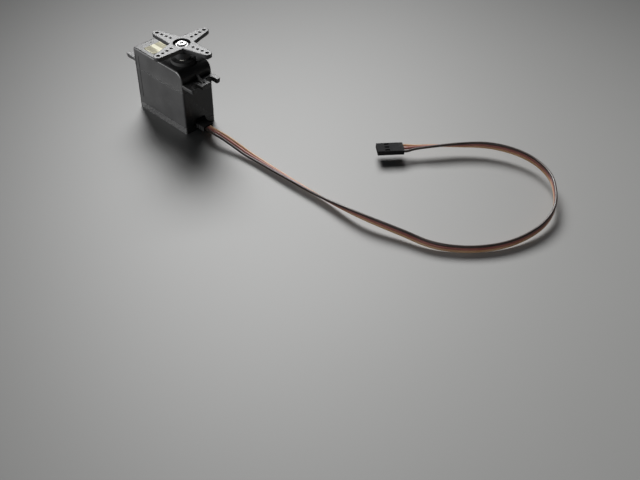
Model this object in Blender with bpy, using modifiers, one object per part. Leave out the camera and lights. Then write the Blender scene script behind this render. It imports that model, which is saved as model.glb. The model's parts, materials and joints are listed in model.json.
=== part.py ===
"""Standard-size hobby servo with its cross horn, gear train, motor, feedback pot and three-wire lead.

Frame: +Z up along the output shaft, origin on that axis in the plane of the bottom cover,
+X towards the end where the lead leaves, +Y across the case.
Every size below is in millimetres; the helpers turn millimetres into metres.
"""
import math

import bmesh
import bpy
from mathutils import Matrix, Vector

MM = 0.001

# ---- case ----
CASE_BACK, CASE_FRONT = -30.1, 10.1      # the two ends, measured from the output axis
CASE_HALF = 10.0                         # half the width
WALL = 1.5
BASE_TOP = 3.9                           # top of the bottom cover
SEAM = 25.1                              # joint of the middle case and the top cover
CASE_TOP = 37.0
JOINT_GAP = 0.1                          # air between two shells that meet
DECK_BOTTOM, DECK_TOP = 22.7, 24.5       # floor of the gear chamber
CEILING = 35.4
SHOULDER = 5.0                           # rounding of the top cover over the output end
TOWER_RADIUS, TOWER_TOP = 6.6, 38.7      # collar round the output shaft
TOWER_LIP, LIP_BORE = 0.7, 3.3           # the collar's rim over the bush, and the way through it
LABEL_REAR, LABEL_FRONT = -24.2, -15.6
LABEL_LOW_Y, LABEL_HIGH_Y = -7.2, 7.6
LABEL_BOTTOM, LABEL_TOP = CASE_TOP + 0.08, CASE_TOP + 0.22

# ---- mounting ears ----
EAR_REACH = 7.6
EAR_HALF = 9.8
EAR_BOTTOM, EAR_TOP = 27.8, 30.3
SLOT_Y = 5.0
SLOT_RADIUS = 2.2
SLOT_INSET = 2.95                        # slot's round end, in from the ear's outer edge

# ---- case screws ----
SCREW_X = (CASE_BACK + 2.2, CASE_FRONT - 2.2)
SCREW_Y = 7.8
SCREW_RADIUS = 0.9
SCREW_HOLE = 1.1
SCREW_TOP = 31.0
SCREW_HEAD_RADIUS, SCREW_HEAD_TOP = 1.6, 1.5
PILLAR = 2.1

# ---- gear train: (large teeth, small teeth) of each stage ----
FINE, COARSE = 0.35, 0.40                # modules
PINION_TEETH = 10
FIRST_TEETH, SECOND_TEETH, THIRD_TEETH, OUTPUT_TEETH = 37, 34, 34, 39
PRESSURE_ANGLE = math.radians(20)
BACKLASH = 0.10                          # taken off each tooth's width
OUTPUT_AXIS = Vector((0, 0))
CENTRE_PIN_Y = -1.5
REAR_PIN_Y = 1.9
REST_LUG = 0.0                           # output gear's stop lug points along +X at rest
PIN_RADIUS = 0.75
GEAR_BORE = 0.85

# ---- output shaft and horn ----
JOURNAL, LOWER_JOURNAL = 3.0, 2.6
BUSH_HOLE, BUSH_GAP = 4.3, 0.15          # hole for the upper bush, and the air round it
BUSH_RUNNING = 0.12                      # air between a bush and its journal
SPLINE_TEETH = 24
SPLINE_INNER, SPLINE_OUTER = 2.70, 2.95
SHAFT_TOP = 43.3
HORN_TURN = math.radians(8)
HORN_BOTTOM, HORN_TOP, HORN_PLATE = 39.4, 47.4, 2.2
HORN_HUB = 4.3
HORN_ARM = 19.7
HORN_ROOT_HALF, HORN_TIP_HALF = 4.2, 2.4
HORN_HOLES = (7.8, 10.9, 14.0, 17.2)
HORN_HOLE, HORN_END_HOLE = 0.75, 0.95      # radii; the hole nearest the tip is the wide one
HORN_RECESS, HORN_RECESS_FLOOR = 4.5, 45.8
HORN_COLLAR = HORN_HUB + 0.9             # thickening under the arms
HORN_SCREW_HEAD, HORN_SCREW_SHANK = 3.45, 0.95
HORN_SCREW_TIP = 38.9

# ---- motor ----
CAN_RADIUS, CAN_HALF = 10.0, 7.7
CAN_BOTTOM, CAN_TOP = 7.4, 22.4
CAN_WALL = 0.7
CAN_BOSS = 3.0
MOTOR_SHAFT = 0.75
MOTOR_SHAFT_BOTTOM, MOTOR_SHAFT_TOP = 5.7, 26.9
SHAFT_PLAY = 0.08                        # between the motor's shaft and its bushes
MOTOR_BUSH, MOTOR_REAR_BUSH = 2.0, 1.5
MOTOR_SCREW_OFFSET = 5.0
MOTOR_SCREW_HEAD, MOTOR_SCREW_SHANK = 1.35, 0.7
CAP_BOTTOM, CAP_FLOOR = 5.5, 6.2
CAP_WELL = 4.9
TERMINAL_OFFSET = 5.9
MAGNET_INNER, MAGNET_OUTER, MAGNET_FLAT = 7.3, 8.9, 6.7
MAGNET_BOTTOM, MAGNET_TOP = 10.6, 20.4
MAGNET_SPREAD = 52                       # half the angle it covers, in degrees
CORE_BOTTOM, CORE_TOP = 11.6, 19.6
POLE_REACH, POLE_SPREAD, POLE_NECK = 6.9, 46, 1.3
COMMUTATOR, COMMUTATOR_BOTTOM, COMMUTATOR_TOP = 1.9, 7.6, 10.4
BRUSH_BOTTOM, BRUSH_TOP = 8.6, 9.6

# ---- feedback pot and board ----
POT_RADIUS = 5.4
POT_BOTTOM, POT_TOP = 14.0, 21.6
POT_WALL = 0.8
POT_SHAFT, POT_SHAFT_FLAT = 1.5, 0.9
POT_ROTOR = 1.75
TRACK_INNER, TRACK_OUTER = 1.9, 4.35
WIPER_BOTTOM, WIPER_TOP = POT_BOTTOM + 3.3, POT_BOTTOM + 3.7
BOARD_BOTTOM, BOARD_TOP = 3.3, 4.5
CHIP_HEIGHT = 1.25
SOLDER_GAP = 0.1                         # air under each part that sits on the board

# ---- lead ----
WIRE_RADIUS = 0.65
WIRE_PITCH = 1.42
BOOT_FRONT = 17.3                        # end of the rubber boot that the wires leave
BOOT_LOW_Y, BOOT_HIGH_Y = -4.0, 2.9
BOOT_BOTTOM, BOOT_TOP = 2.4, 5.0
TONGUE_HALF, TONGUE_BOTTOM, TONGUE_TOP = 2.9, BASE_TOP + 0.25, 6.2
NOTCH_HALF, NOTCH_TOP = 3.2, 6.5         # opening for the tongue in the middle case
LEAD_START = BOOT_FRONT + 0.7
# route of the ribbon's centre: x, y, z and the ribbon's turn about its own run, in degrees
LEAD_ROUTE = (
    (LEAD_START, -0.8, 3.8, 0), (21.0, -1.6, 4.5, -6), (25.0, -2.1, 5.1, -12), (30.0, -1.8, 5.0, -16),
    (35.5, -1.4, 4.3, -16), (42.0, -1.1, 3.4, -14), (48.0, -1.0, 2.7, -6), (57.0, -0.6, 2.3, 6),
    (78.0, -0.3, 2.2, 28), (100.0, 0.4, 2.3, 45), (124.6, 1.4, 4.6, 78), (145.2, 6.7, 3.6, 90),
    (159.5, 10.7, 2.7, 90), (170.3, 17.7, 2.3, 90), (178.7, 26.5, 2.3, 90),
    (185.0, 36.8, 2.6, 90), (188.7, 48.4, 3.2, 90), (189.7, 59.7, 4.0, 90), (187.4, 71.1, 4.9, 90),
    (181.3, 81.7, 5.5, 90), (172.3, 91.1, 5.8, 90), (159.5, 96.3, 5.8, 90), (146.3, 95.5, 5.9, 90),
    (134.2, 90.1, 5.8, 98), (124.1, 81.0, 5.5, 118), (115.1, 70.3, 5.6, 152), (108.9, 62.7, 5.4, 175),
)
PLUG_REAR = Vector((104.7, 57.5))
PLUG_FRONT = Vector((95.6, 46.85))
PLUG_WIDTH, PLUG_BOTTOM, PLUG_TOP = 7.6, 3.9, 6.55
PLUG_PITCH = 2.54
PLUG_MIDDLE = (PLUG_BOTTOM + PLUG_TOP) / 2
CONTACT_HALF, CONTACT_BORE = 0.6, 0.38
CONTACT_ROOM = 0.75

PARTS = "hobby_servo"
CUTTERS = "cutters"


# ------------------------------------------------------------------ scene and materials

def clear_scene():
    """Remove every object and make the two collections."""
    for item in list(bpy.data.objects):
        bpy.data.objects.remove(item, do_unlink=True)
    for name in (PARTS, CUTTERS):
        group = bpy.data.collections.get(name) or bpy.data.collections.new(name)
        if name not in bpy.context.scene.collection.children:
            bpy.context.scene.collection.children.link(group)


def material(name, colour, roughness, metallic=0.0):
    made = bpy.data.materials.new(name)
    made.use_nodes = True
    shader = made.node_tree.nodes["Principled BSDF"]
    shader.inputs["Base Color"].default_value = (*colour, 1)
    shader.inputs["Roughness"].default_value = roughness
    shader.inputs["Metallic"].default_value = metallic
    made.diffuse_color = (*colour, 1)
    return made


def add_object(name, mesh, surface, cutter=False):
    """Wrap a mesh in an object in the right collection."""
    item = bpy.data.objects.new(name, mesh)
    bpy.data.collections[CUTTERS if cutter else PARTS].objects.link(item)
    if cutter:
        item.hide_render = True
        item.display_type = "WIRE"
    else:
        mesh.materials.append(surface)
        mesh.shade_smooth()
        mesh.set_sharp_from_angle(angle=math.radians(30))
    return item


# ------------------------------------------------------------------ shape helpers (millimetres)

def arc(centre, radius, start, end, steps):
    """Points on an arc, angles in degrees, both ends included."""
    angles = [math.radians(start + (end - start) * i / steps) for i in range(steps + 1)]
    return [(centre[0] + radius * math.cos(a), centre[1] + radius * math.sin(a)) for a in angles]


def circle(centre, radius, sides=24, start=0.0):
    return arc(centre, radius, start, start + 360 * (sides - 1) / sides, sides - 1)


def rounded_rectangle(low, high, radius, steps=3):
    corners = ((high[0] - radius, high[1] - radius, 0), (low[0] + radius, high[1] - radius, 90),
               (low[0] + radius, low[1] + radius, 180), (high[0] - radius, low[1] + radius, 270))
    return [p for x, y, turn in corners for p in arc((x, y), radius, turn, turn + 90, steps)]


def outline_mesh(name, loops, bottom, top):
    """Flat outline, with any holes, raised between two heights: a welded, closed mesh."""
    curve = bpy.data.curves.new(name, "CURVE")
    curve.dimensions = "2D"
    curve.fill_mode = "BOTH"
    curve.extrude = (top - bottom) / 2 * MM
    for loop in loops:
        spline = curve.splines.new("POLY")
        spline.points.add(len(loop) - 1)
        for point, (x, y) in zip(spline.points, loop):
            point.co = (x * MM, y * MM, 0, 1)
        spline.use_cyclic_u = True
    flat = bpy.data.objects.new(name + "_outline", curve)
    bpy.context.scene.collection.objects.link(flat)
    bpy.context.view_layer.update()
    solid = flat.evaluated_get(bpy.context.evaluated_depsgraph_get())
    mesh = bpy.data.meshes.new_from_object(solid)
    bpy.data.objects.remove(flat, do_unlink=True)
    bpy.data.curves.remove(curve)
    work = bmesh.new()
    work.from_mesh(mesh)
    bmesh.ops.remove_doubles(work, verts=work.verts, dist=1e-6)
    bmesh.ops.translate(work, verts=work.verts, vec=(0, 0, (top + bottom) / 2 * MM))
    bmesh.ops.recalc_face_normals(work, faces=work.faces)
    work.to_mesh(mesh)
    work.free()
    mesh.name = name
    return mesh


def prism(name, outline, bottom, top, surface=None, holes=(), place=(0, 0), turn=0.0, cutter=False):
    """Upright prism; place is its axis and turn its rotation about +Z."""
    item = add_object(name, outline_mesh(name, [outline, *holes], bottom, top), surface, cutter)
    item.location = (place[0] * MM, place[1] * MM, 0)
    item.rotation_euler.z = turn
    return item


def side_prism(name, outline, low_y, high_y, surface=None, cutter=False):
    """Prism along Y from an outline of (x, z) points."""
    item = add_object(name, outline_mesh(name, [outline], -high_y, -low_y), surface, cutter)
    item.data.transform(Matrix.Rotation(math.radians(90), 4, "X"))
    return item


def block(name, low, high, surface=None, bevel=0.0, cutter=False):
    """Box between two corners, with its edges rounded by a Bevel modifier when bevel is given."""
    mesh = bpy.data.meshes.new(name)
    work = bmesh.new()
    bmesh.ops.create_cube(work, size=1)
    size = [(b - a) * MM for a, b in zip(low, high)]
    middle = [(b + a) / 2 * MM for a, b in zip(low, high)]
    bmesh.ops.scale(work, verts=work.verts, vec=size)
    bmesh.ops.translate(work, verts=work.verts, vec=middle)
    work.to_mesh(mesh)
    work.free()
    item = add_object(name, mesh, surface, cutter)
    if bevel:
        round_edges(item, bevel)
    return item


def round_edges(item, width, segments=1, angle=50):
    edge = item.modifiers.new("edges", "BEVEL")
    edge.width = width * MM
    edge.segments = segments
    edge.limit_method = "ANGLE"
    edge.angle_limit = math.radians(angle)
    edge.use_clamp_overlap = True


def turned(name, profile, surface=None, place=(0, 0), sides=24, cutter=False):
    """Turned solid: profile of (radius, z) points run down the outer side, from axis to axis."""
    mesh = bpy.data.meshes.new(name)
    work = bmesh.new()
    ring = [work.verts.new((r * MM, 0, z * MM)) for r, z in profile]
    if profile[0][0] > 0:
        ring.append(ring[0])
    for a, b in zip(ring, ring[1:]):
        work.edges.new((a, b))
    work.to_mesh(mesh)
    work.free()
    item = add_object(name, mesh, surface, cutter)
    item.location = (place[0] * MM, place[1] * MM, 0)
    screw = item.modifiers.new("turn", "SCREW")
    screw.axis = "Z"
    screw.steps = screw.render_steps = sides
    screw.use_merge_vertices = True
    screw.merge_threshold = 1e-6
    return item


def drill(name, place, radius, bottom, top, sides=12):
    """Round cutter along Z, turned a little so that its corners miss the axes' planes."""
    item = turned(name, ((0, top), (radius, top), (radius, bottom), (0, bottom)),
                  place=place, sides=sides, cutter=True)
    item.rotation_euler.z = math.radians(3.7)
    return item


def cut(item, *tools):
    for tool in tools:
        step = item.modifiers.new("cut " + tool.name, "BOOLEAN")
        step.operation = "DIFFERENCE"
        step.solver = "EXACT"
        step.object = tool
    return item


def join(item, *tools):
    for tool in tools:
        step = item.modifiers.new("join " + tool.name, "BOOLEAN")
        step.operation = "UNION"
        step.solver = "EXACT"
        step.object = tool
    return item


# ------------------------------------------------------------------ gears

def gear_outline(teeth, module):
    """Involute outline with a tooth centred on +X; a pinion's flanks get a point at the pitch circle."""
    pitch = teeth * module / 2
    base = pitch * math.cos(PRESSURE_ANGLE)
    root = pitch - 1.3 * module
    tip = pitch + 0.85 * module
    half_pitch_angle = (math.pi * module / 2 - BACKLASH) / 2 / pitch

    def half_width(radius):
        """Half the tooth's angle at a radius, constant below the base circle."""
        def involute(r):
            lean = math.acos(min(1.0, base / r))
            return math.tan(lean) - lean
        return half_pitch_angle + involute(pitch) - involute(max(radius, base))

    radii = [root, pitch, tip] if teeth < 20 else [root, tip]
    right = [(r, -half_width(r)) for r in radii]
    left = [(r, half_width(r)) for r in reversed(radii)]
    points = []
    for tooth in range(teeth):
        middle = 2 * math.pi * tooth / teeth
        points += [(r * math.cos(middle + a), r * math.sin(middle + a)) for r, a in right + left]
    return points


def meshing_turn(driver_turn, driver_teeth, driven_teeth, direction):
    """Turn of a gear that meshes with one lying at direction minus 180 degrees from it."""
    return (direction + math.pi - driver_teeth / driven_teeth * (driver_turn - direction)
            - math.pi / driven_teeth)


def towards(start, end):
    return math.atan2(end.y - start.y, end.x - start.x)


def gear_places():
    """Axes of the gear train, each from the centre distance of the pair that meshes on it."""
    centre_distance = COARSE * (OUTPUT_TEETH + PINION_TEETH) / 2
    centre = Vector((-math.sqrt(centre_distance ** 2 - CENTRE_PIN_Y ** 2), CENTRE_PIN_Y))
    rear_distance = FINE * (SECOND_TEETH + PINION_TEETH) / 2
    rise = REAR_PIN_Y - CENTRE_PIN_Y
    rear = Vector((centre.x - math.sqrt(rear_distance ** 2 - rise ** 2), REAR_PIN_Y))
    motor_distance = FINE * (FIRST_TEETH + PINION_TEETH) / 2
    motor = Vector((centre.x - math.sqrt(motor_distance ** 2 - centre.y ** 2), 0))
    return centre, rear, motor


CENTRE_PIN, REAR_PIN, MOTOR_AXIS = gear_places()


def compound_gear(name, axis, large, small, levels, turns, surface):
    """Large wheel with a small pinion on top, bored for its pin."""
    wheel = prism(name, gear_outline(*large), levels[0], levels[1], surface, place=axis, turn=turns[0])
    pinion = prism(name + "_pinion", gear_outline(*small), levels[1] - 0.3, levels[2],
                   place=axis, turn=turns[1], cutter=True)
    foot = drill(name + "_foot", axis, 1.5, levels[0] - 0.25, levels[0] + 0.2)
    bore = drill(name + "_bore", axis, GEAR_BORE, levels[0] - 1, levels[2] + 1)
    return cut(join(wheel, pinion, foot), bore)


def make_gears(white, brass):
    """The three compound gears and the motor pinion, in mesh at rest with the output gear."""
    to_centre = towards(OUTPUT_AXIS, CENTRE_PIN)
    third_small = meshing_turn(REST_LUG, OUTPUT_TEETH, PINION_TEETH, to_centre)
    third_large = 0.0
    to_rear = towards(CENTRE_PIN, REAR_PIN)
    second_small = meshing_turn(third_large, THIRD_TEETH, PINION_TEETH, to_rear)
    second_large = 0.0
    first_small = meshing_turn(second_large, SECOND_TEETH, PINION_TEETH, towards(REAR_PIN, CENTRE_PIN))
    first_large = 0.0
    pinion_turn = meshing_turn(first_large, FIRST_TEETH, PINION_TEETH, towards(CENTRE_PIN, MOTOR_AXIS))
    compound_gear("third_gear", CENTRE_PIN, (THIRD_TEETH, FINE), (PINION_TEETH, COARSE),
                  (29.5, 31.1, 34.5), (third_large, third_small), white)
    compound_gear("second_gear", REAR_PIN, (SECOND_TEETH, FINE), (PINION_TEETH, FINE),
                  (27.4, 28.9, 31.3), (second_large, second_small), white)
    compound_gear("first_gear", CENTRE_PIN, (FIRST_TEETH, FINE), (PINION_TEETH, FINE),
                  (25.1, 26.7, 29.1), (first_large, first_small), white)
    pinion = prism("motor_pinion", gear_outline(PINION_TEETH, FINE), 24.9, 27.0, brass,
                   place=MOTOR_AXIS, turn=pinion_turn)
    cut(pinion, drill("pinion_bore", MOTOR_AXIS, MOTOR_SHAFT + 0.06, 24, 28))


def make_output_gear(white):
    """Final gear, its shaft with the spline, the pot's socket and the stop lug, in one moulding."""
    gear = prism("output_gear", gear_outline(OUTPUT_TEETH, COARSE), 31.6, 34.3, white, turn=REST_LUG)
    shaft = turned("output_shaft", ((0, TOWER_TOP + 0.5), (JOURNAL, TOWER_TOP + 0.5), (JOURNAL, 34.7),
                                    (3.6, 34.5), (3.6, 31.4), (3.2, 31.3), (3.2, 27.4),
                                    (LOWER_JOURNAL, 27.1), (LOWER_JOURNAL, 22.3), (0, 22.3)),
                   cutter=True, sides=24)
    ribs = [((SPLINE_OUTER if i % 2 else SPLINE_INNER), math.pi * i / SPLINE_TEETH)
            for i in range(2 * SPLINE_TEETH)]
    spline = prism("spline", [(r * math.cos(a), r * math.sin(a)) for r, a in ribs],
                   TOWER_TOP, SHAFT_TOP, cutter=True)
    lug = prism("stop_lug", arc((0, 0), 6.2, -8, 8, 4) + arc((0, 0), 3.2, 8, -8, 4), 34.1, 35.0, cutter=True)
    thread = drill("horn_thread", (0, 0), 1.05, 38.5, SHAFT_TOP + 1)
    flat = [(x, y) for x, y in circle((0, 0), 1.62, 20) if y < 1.0]
    socket = prism("pot_socket", flat, 21, 25.5, cutter=True)
    return cut(join(gear, shaft, spline, lug), thread, socket)


# ------------------------------------------------------------------ case shells

def chamber(inset):
    """Inside outline of a shell: a rectangle that steps round the four screw pillars."""
    low = (CASE_BACK + inset, -CASE_HALF + inset)
    high = (CASE_FRONT - inset, CASE_HALF - inset)
    points = []
    for sx, sy in ((1, 1), (-1, 1), (-1, -1), (1, -1)):
        centre = (SCREW_X[1] if sx > 0 else SCREW_X[0], sy * SCREW_Y)
        edge = (high[0] if sx > 0 else low[0], high[1] if sy > 0 else low[1])
        reach_x = math.sqrt(PILLAR ** 2 - (edge[0] - centre[0]) ** 2)
        reach_y = math.sqrt(PILLAR ** 2 - (edge[1] - centre[1]) ** 2)
        on_x = math.degrees(math.atan2(-sy * reach_x, edge[0] - centre[0]))
        on_y = math.degrees(math.atan2(edge[1] - centre[1], -sx * reach_y))
        first, last = (on_x, on_y) if sx * sy > 0 else (on_y, on_x)
        sweep = -((first - last) % 360)
        points += arc(centre, PILLAR, first, first + sweep, 4)
    return points


def shell_block(name, bottom, top, surface):
    body = prism(name, rounded_rectangle((CASE_BACK, -CASE_HALF), (CASE_FRONT, CASE_HALF), 1.1),
                 bottom, top, surface)
    round_edges(body, 0.3)
    return body


def screw_spots():
    return [(x, y) for x in SCREW_X for y in (-SCREW_Y, SCREW_Y)]


def make_bottom_cover(black):
    cover = shell_block("bottom_cover", 0, BASE_TOP, black)
    tools = [prism("bottom_cavity", chamber(WALL), WALL, BASE_TOP + 1, cutter=True)]
    for number, spot in enumerate(screw_spots(), 1):
        tools.append(turned(f"bottom_hole_{number}",
                            ((0, BASE_TOP + 1), (SCREW_HOLE, BASE_TOP + 1), (SCREW_HOLE, 1.75),
                             (SCREW_HEAD_RADIUS + 0.2, 1.75), (SCREW_HEAD_RADIUS + 0.2, -1), (0, -1)),
                            place=spot, sides=16, cutter=True))
    cut(cover, *tools)


def make_middle_case(black):
    low = BASE_TOP + JOINT_GAP
    case = shell_block("middle_case", low, SEAM, black)
    tools = [
        prism("motor_room", chamber(WALL), low - 1, DECK_BOTTOM, cutter=True),
        prism("gear_floor", chamber(WALL), DECK_TOP, SEAM + 1, cutter=True),
        drill("motor_boss_hole", MOTOR_AXIS, 3.3, DECK_BOTTOM - 1, DECK_TOP + 1, 24),
        drill("lower_bush_hole", OUTPUT_AXIS, 4.2, DECK_BOTTOM - 1, DECK_TOP + 1, 24),
        drill("centre_pin_hole", CENTRE_PIN, PIN_RADIUS + 0.06, DECK_BOTTOM - 1, DECK_TOP + 1),
        block("lead_notch", (CASE_FRONT - WALL - 1, -NOTCH_HALF, low - 1),
              (CASE_FRONT + 1, NOTCH_HALF, NOTCH_TOP), cutter=True),
    ]
    for number, spot in enumerate(screw_spots(), 1):
        tools.append(drill(f"middle_hole_{number}", spot, SCREW_HOLE, low - 1, SEAM + 1))
    for number, spot in enumerate(motor_screw_spots(), 1):
        tools.append(drill(f"deck_screw_hole_{number}", spot, 0.95, DECK_BOTTOM - 1, DECK_TOP + 1))
    cut(case, *tools)


def top_outline():
    """Side view of the top cover: a big shoulder over the output end, a small one at the back."""
    low = SEAM + JOINT_GAP
    front = arc((CASE_FRONT - SHOULDER, CASE_TOP - SHOULDER), SHOULDER, 0, 90, 6)
    back = arc((CASE_BACK + 1.2, CASE_TOP - 1.2), 1.2, 90, 180, 3)
    return [(CASE_BACK, low), (CASE_FRONT, low), *front, *back]


def ear_outline(end, outward):
    """Plan of one ear with its two slots open at the outer edge; outward is +1 or -1 along X."""
    root = end - outward
    outer = end + outward * EAR_REACH
    round_x = outer - outward * SLOT_INSET
    corner = 0.9
    points = [(root, -EAR_HALF)]
    points += [(outer - outward * corner, -EAR_HALF), (outer, -EAR_HALF + corner)]
    for y in (-SLOT_Y, SLOT_Y):
        points.append((outer, y - SLOT_RADIUS))
        points += [(round_x - outward * SLOT_RADIUS * math.sin(math.radians(a)),
                    y - SLOT_RADIUS * math.cos(math.radians(a))) for a in range(0, 181, 30)]
        points.append((outer, y + SLOT_RADIUS))
    points += [(outer, EAR_HALF - corner), (outer - outward * corner, EAR_HALF), (root, EAR_HALF)]
    return points


def make_top_cover(black):
    cover = side_prism("top_cover", top_outline(), -CASE_HALF, CASE_HALF, black)
    round_edges(cover, 0.5)
    tower = turned("tower", ((0, TOWER_TOP), (TOWER_RADIUS - 0.5, TOWER_TOP), (TOWER_RADIUS, TOWER_TOP - 0.5),
                             (TOWER_RADIUS, CASE_TOP - 1), (0, CASE_TOP - 1)), sides=32, cutter=True)
    additions = [tower]
    for label, end, outward in (("front", CASE_FRONT, 1), ("rear", CASE_BACK, -1)):
        ear = prism(f"{label}_ear", ear_outline(end, outward), EAR_BOTTOM, EAR_TOP, cutter=True)
        rib = side_prism(f"{label}_rib", [(end - outward, EAR_TOP - 1), (end + outward * 5.6, EAR_TOP - 1),
                                          (end + outward * 5.6, EAR_TOP + 0.3), (end, EAR_TOP + 2.8),
                                          (end - outward, EAR_TOP + 2.8)], -0.6, 0.6, cutter=True)
        additions += [ear, rib]
    boss = drill("rear_pin_boss", REAR_PIN, 2.0, 31.7, CEILING + 0.5, 16)
    stop = prism("stop_ridge", arc((0, 0), 6.2, 101, 259, 8) + arc((0, 0), 4.9, 259, 101, 8),
                 34.75, CEILING + 0.5, cutter=True)
    tools = [
        prism("gear_room", chamber(WALL), SEAM - 1, 34.7, cutter=True),
        prism("gear_room_roof", rounded_rectangle((CASE_BACK + 3, -CASE_HALF + 2.2),
                                                  (CASE_FRONT - 3.0, CASE_HALF - 2.2), 1.0),
              34.2, CEILING, cutter=True),
    ]
    bores = [
        drill("upper_bush_hole", OUTPUT_AXIS, BUSH_HOLE, CEILING - 1, TOWER_TOP - TOWER_LIP, 24),
        drill("shaft_way", OUTPUT_AXIS, LIP_BORE, CEILING - 1, TOWER_TOP + 1, 24),
        drill("centre_pin_socket", CENTRE_PIN, PIN_RADIUS + 0.06, CEILING - 1, 36.4),
        drill("rear_pin_socket", REAR_PIN, PIN_RADIUS + 0.06, 31, 36.2),
    ]
    for number, spot in enumerate(screw_spots(), 1):
        bores.append(drill(f"top_hole_{number}", spot, SCREW_HOLE, SEAM - 1, SCREW_TOP + 0.6))
    join(cover, *additions)
    cut(cover, *tools)
    join(cover, boss, stop)
    cut(cover, *bores)


def make_label(gold):
    block("top_label", (LABEL_REAR, LABEL_LOW_Y, LABEL_BOTTOM), (LABEL_FRONT, LABEL_HIGH_Y, LABEL_TOP), gold)


def screw_body(name, place, head, shank, surface, driver=1.0):
    """Pan-head screw; head and shank are (radius, bottom, top), the head at whichever end is given."""
    head_radius, head_low, head_high = head
    radius, low, high = shank
    if head_low > low:
        profile = ((0, head_high), (head_radius * 0.6, head_high), (head_radius * 0.93, head_high - 0.25),
                   (head_radius, head_low + 0.3), (head_radius, head_low), (radius, head_low),
                   (radius, low + 0.6), (radius * 0.4, low), (0, low))
        slot_low, slot_high = head_high - 0.6, head_high + 1
    else:
        profile = ((0, high), (radius * 0.4, high), (radius, high - 0.6), (radius, head_high),
                   (head_radius, head_high), (head_radius, head_low + 0.3), (head_radius * 0.8, head_low),
                   (0, head_low))
        slot_low, slot_high = head_low - 1, head_low + 0.6
    item = turned(name, profile, surface, place=place, sides=12 if head_radius < 3 else 24)
    root, tip = driver * 0.26, driver * 0.18
    cross = []
    for quarter in range(4):
        turn = Matrix.Rotation(math.radians(90 * quarter), 2)
        cross += [tuple(turn @ Vector(p)) for p in ((driver, -tip), (driver, tip), (root, root))]
    return cut(item, prism(name + "_cross", cross, slot_low, slot_high, place=place, turn=0.1, cutter=True))


def make_case_screws(steel):
    for number, spot in enumerate(screw_spots(), 1):
        screw_body(f"case_screw_{number}", spot, (SCREW_HEAD_RADIUS, 0.25, SCREW_HEAD_TOP),
                   (SCREW_RADIUS, 0.25, SCREW_TOP), steel)


# ------------------------------------------------------------------ shaft, bushes, pins, horn

def make_bushes(bronze):
    outer, top, bottom = BUSH_HOLE - BUSH_GAP, TOWER_TOP - TOWER_LIP - BUSH_GAP, CEILING + 0.1
    turned("upper_bush", ((outer, top), (outer, bottom), (JOURNAL + BUSH_RUNNING, bottom),
                          (JOURNAL + BUSH_RUNNING, top)), bronze, sides=24)
    bore, flange = LOWER_JOURNAL + BUSH_RUNNING, DECK_TOP + 0.1
    turned("lower_bush", ((4.9, flange + 0.3), (4.9, flange), (4.05, flange), (4.05, DECK_BOTTOM + 0.1),
                          (bore, DECK_BOTTOM + 0.1), (bore, flange + 0.3)), bronze, sides=24)


def make_pins(steel):
    for name, axis, low, high in (("centre_gear_pin", CENTRE_PIN, 22.9, 36.2),
                                  ("rear_gear_pin", REAR_PIN, 27.3, 36.0)):
        turned(name, ((0, high), (PIN_RADIUS - 0.15, high), (PIN_RADIUS, high - 0.15),
                      (PIN_RADIUS, low + 0.15), (PIN_RADIUS - 0.15, low), (0, low)),
               steel, place=axis, sides=16)


def horn_outline():
    """Four tapering arms with round ends, joined by straight inner corners."""
    tip_centre = HORN_ARM - HORN_TIP_HALF
    arm = [(HORN_ROOT_HALF + 0.6, -HORN_ROOT_HALF), *arc((tip_centre, 0), HORN_TIP_HALF, -84, 84, 8)]
    points = []
    for quarter in range(4):
        turn = Matrix.Rotation(math.radians(90 * quarter), 2)
        points += [tuple(turn @ Vector(p)) for p in arm]
    return points


def make_horn(black, steel):
    quarters = [math.pi / 2 * quarter for quarter in range(4)]
    holes = [circle((r * math.cos(a), r * math.sin(a)),
                    HORN_END_HOLE if r == HORN_HOLES[-1] else HORN_HOLE, 8, start=13 * r)
             for a in quarters for r in HORN_HOLES]
    horn = prism("servo_horn", horn_outline(), HORN_TOP - HORN_PLATE, HORN_TOP, black, holes, turn=HORN_TURN)
    hub = turned("horn_hub", ((0, HORN_TOP - 1), (HORN_HUB, HORN_TOP - 1), (HORN_HUB, HORN_BOTTOM + 0.3),
                              (HORN_HUB - 0.3, HORN_BOTTOM), (0, HORN_BOTTOM)), sides=24, cutter=True)
    collar = turned("horn_collar", ((0, HORN_TOP - 0.8), (HORN_COLLAR, HORN_TOP - 0.8),
                                    (HORN_COLLAR, HORN_TOP - 3.0), (HORN_HUB, HORN_TOP - 4.2),
                                    (0, HORN_TOP - 4.2)), sides=24, cutter=True)
    recess = drill("horn_recess", (0, 0), HORN_RECESS, HORN_RECESS_FLOOR, HORN_TOP + 1, 24)
    socket = drill("horn_socket", (0, 0), SPLINE_OUTER + 0.08, HORN_BOTTOM - 1, SHAFT_TOP + 0.3, 24)
    clearance = drill("horn_screw_hole", (0, 0), HORN_SCREW_SHANK + 0.45, SHAFT_TOP - 1, HORN_TOP)
    cut(join(horn, hub, collar), recess, socket, clearance)
    seat = HORN_RECESS_FLOOR + 0.1
    screw_body("horn_screw", (0, 0), (HORN_SCREW_HEAD, seat, HORN_TOP - 0.1),
               (HORN_SCREW_SHANK, HORN_SCREW_TIP, seat), steel, driver=1.9)


# ------------------------------------------------------------------ motor

def motor_screw_spots():
    return [(MOTOR_AXIS.x + side * MOTOR_SCREW_OFFSET, MOTOR_AXIS.y) for side in (-1, 1)]


def can_outline(inset=0.0):
    """Round can with two flats across Y."""
    radius, half = CAN_RADIUS - inset, CAN_HALF - inset
    lean = math.degrees(math.asin(half / radius))
    return arc((0, 0), radius, -lean, lean, 8) + arc((0, 0), radius, 180 - lean, 180 + lean, 8)


def bush(name, outer, inner, bottom, top, surface, place, sides):
    """Plain ring about an upright axis."""
    return turned(name, ((outer, top), (outer, bottom), (inner, bottom), (inner, top)), surface, place, sides)


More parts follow.
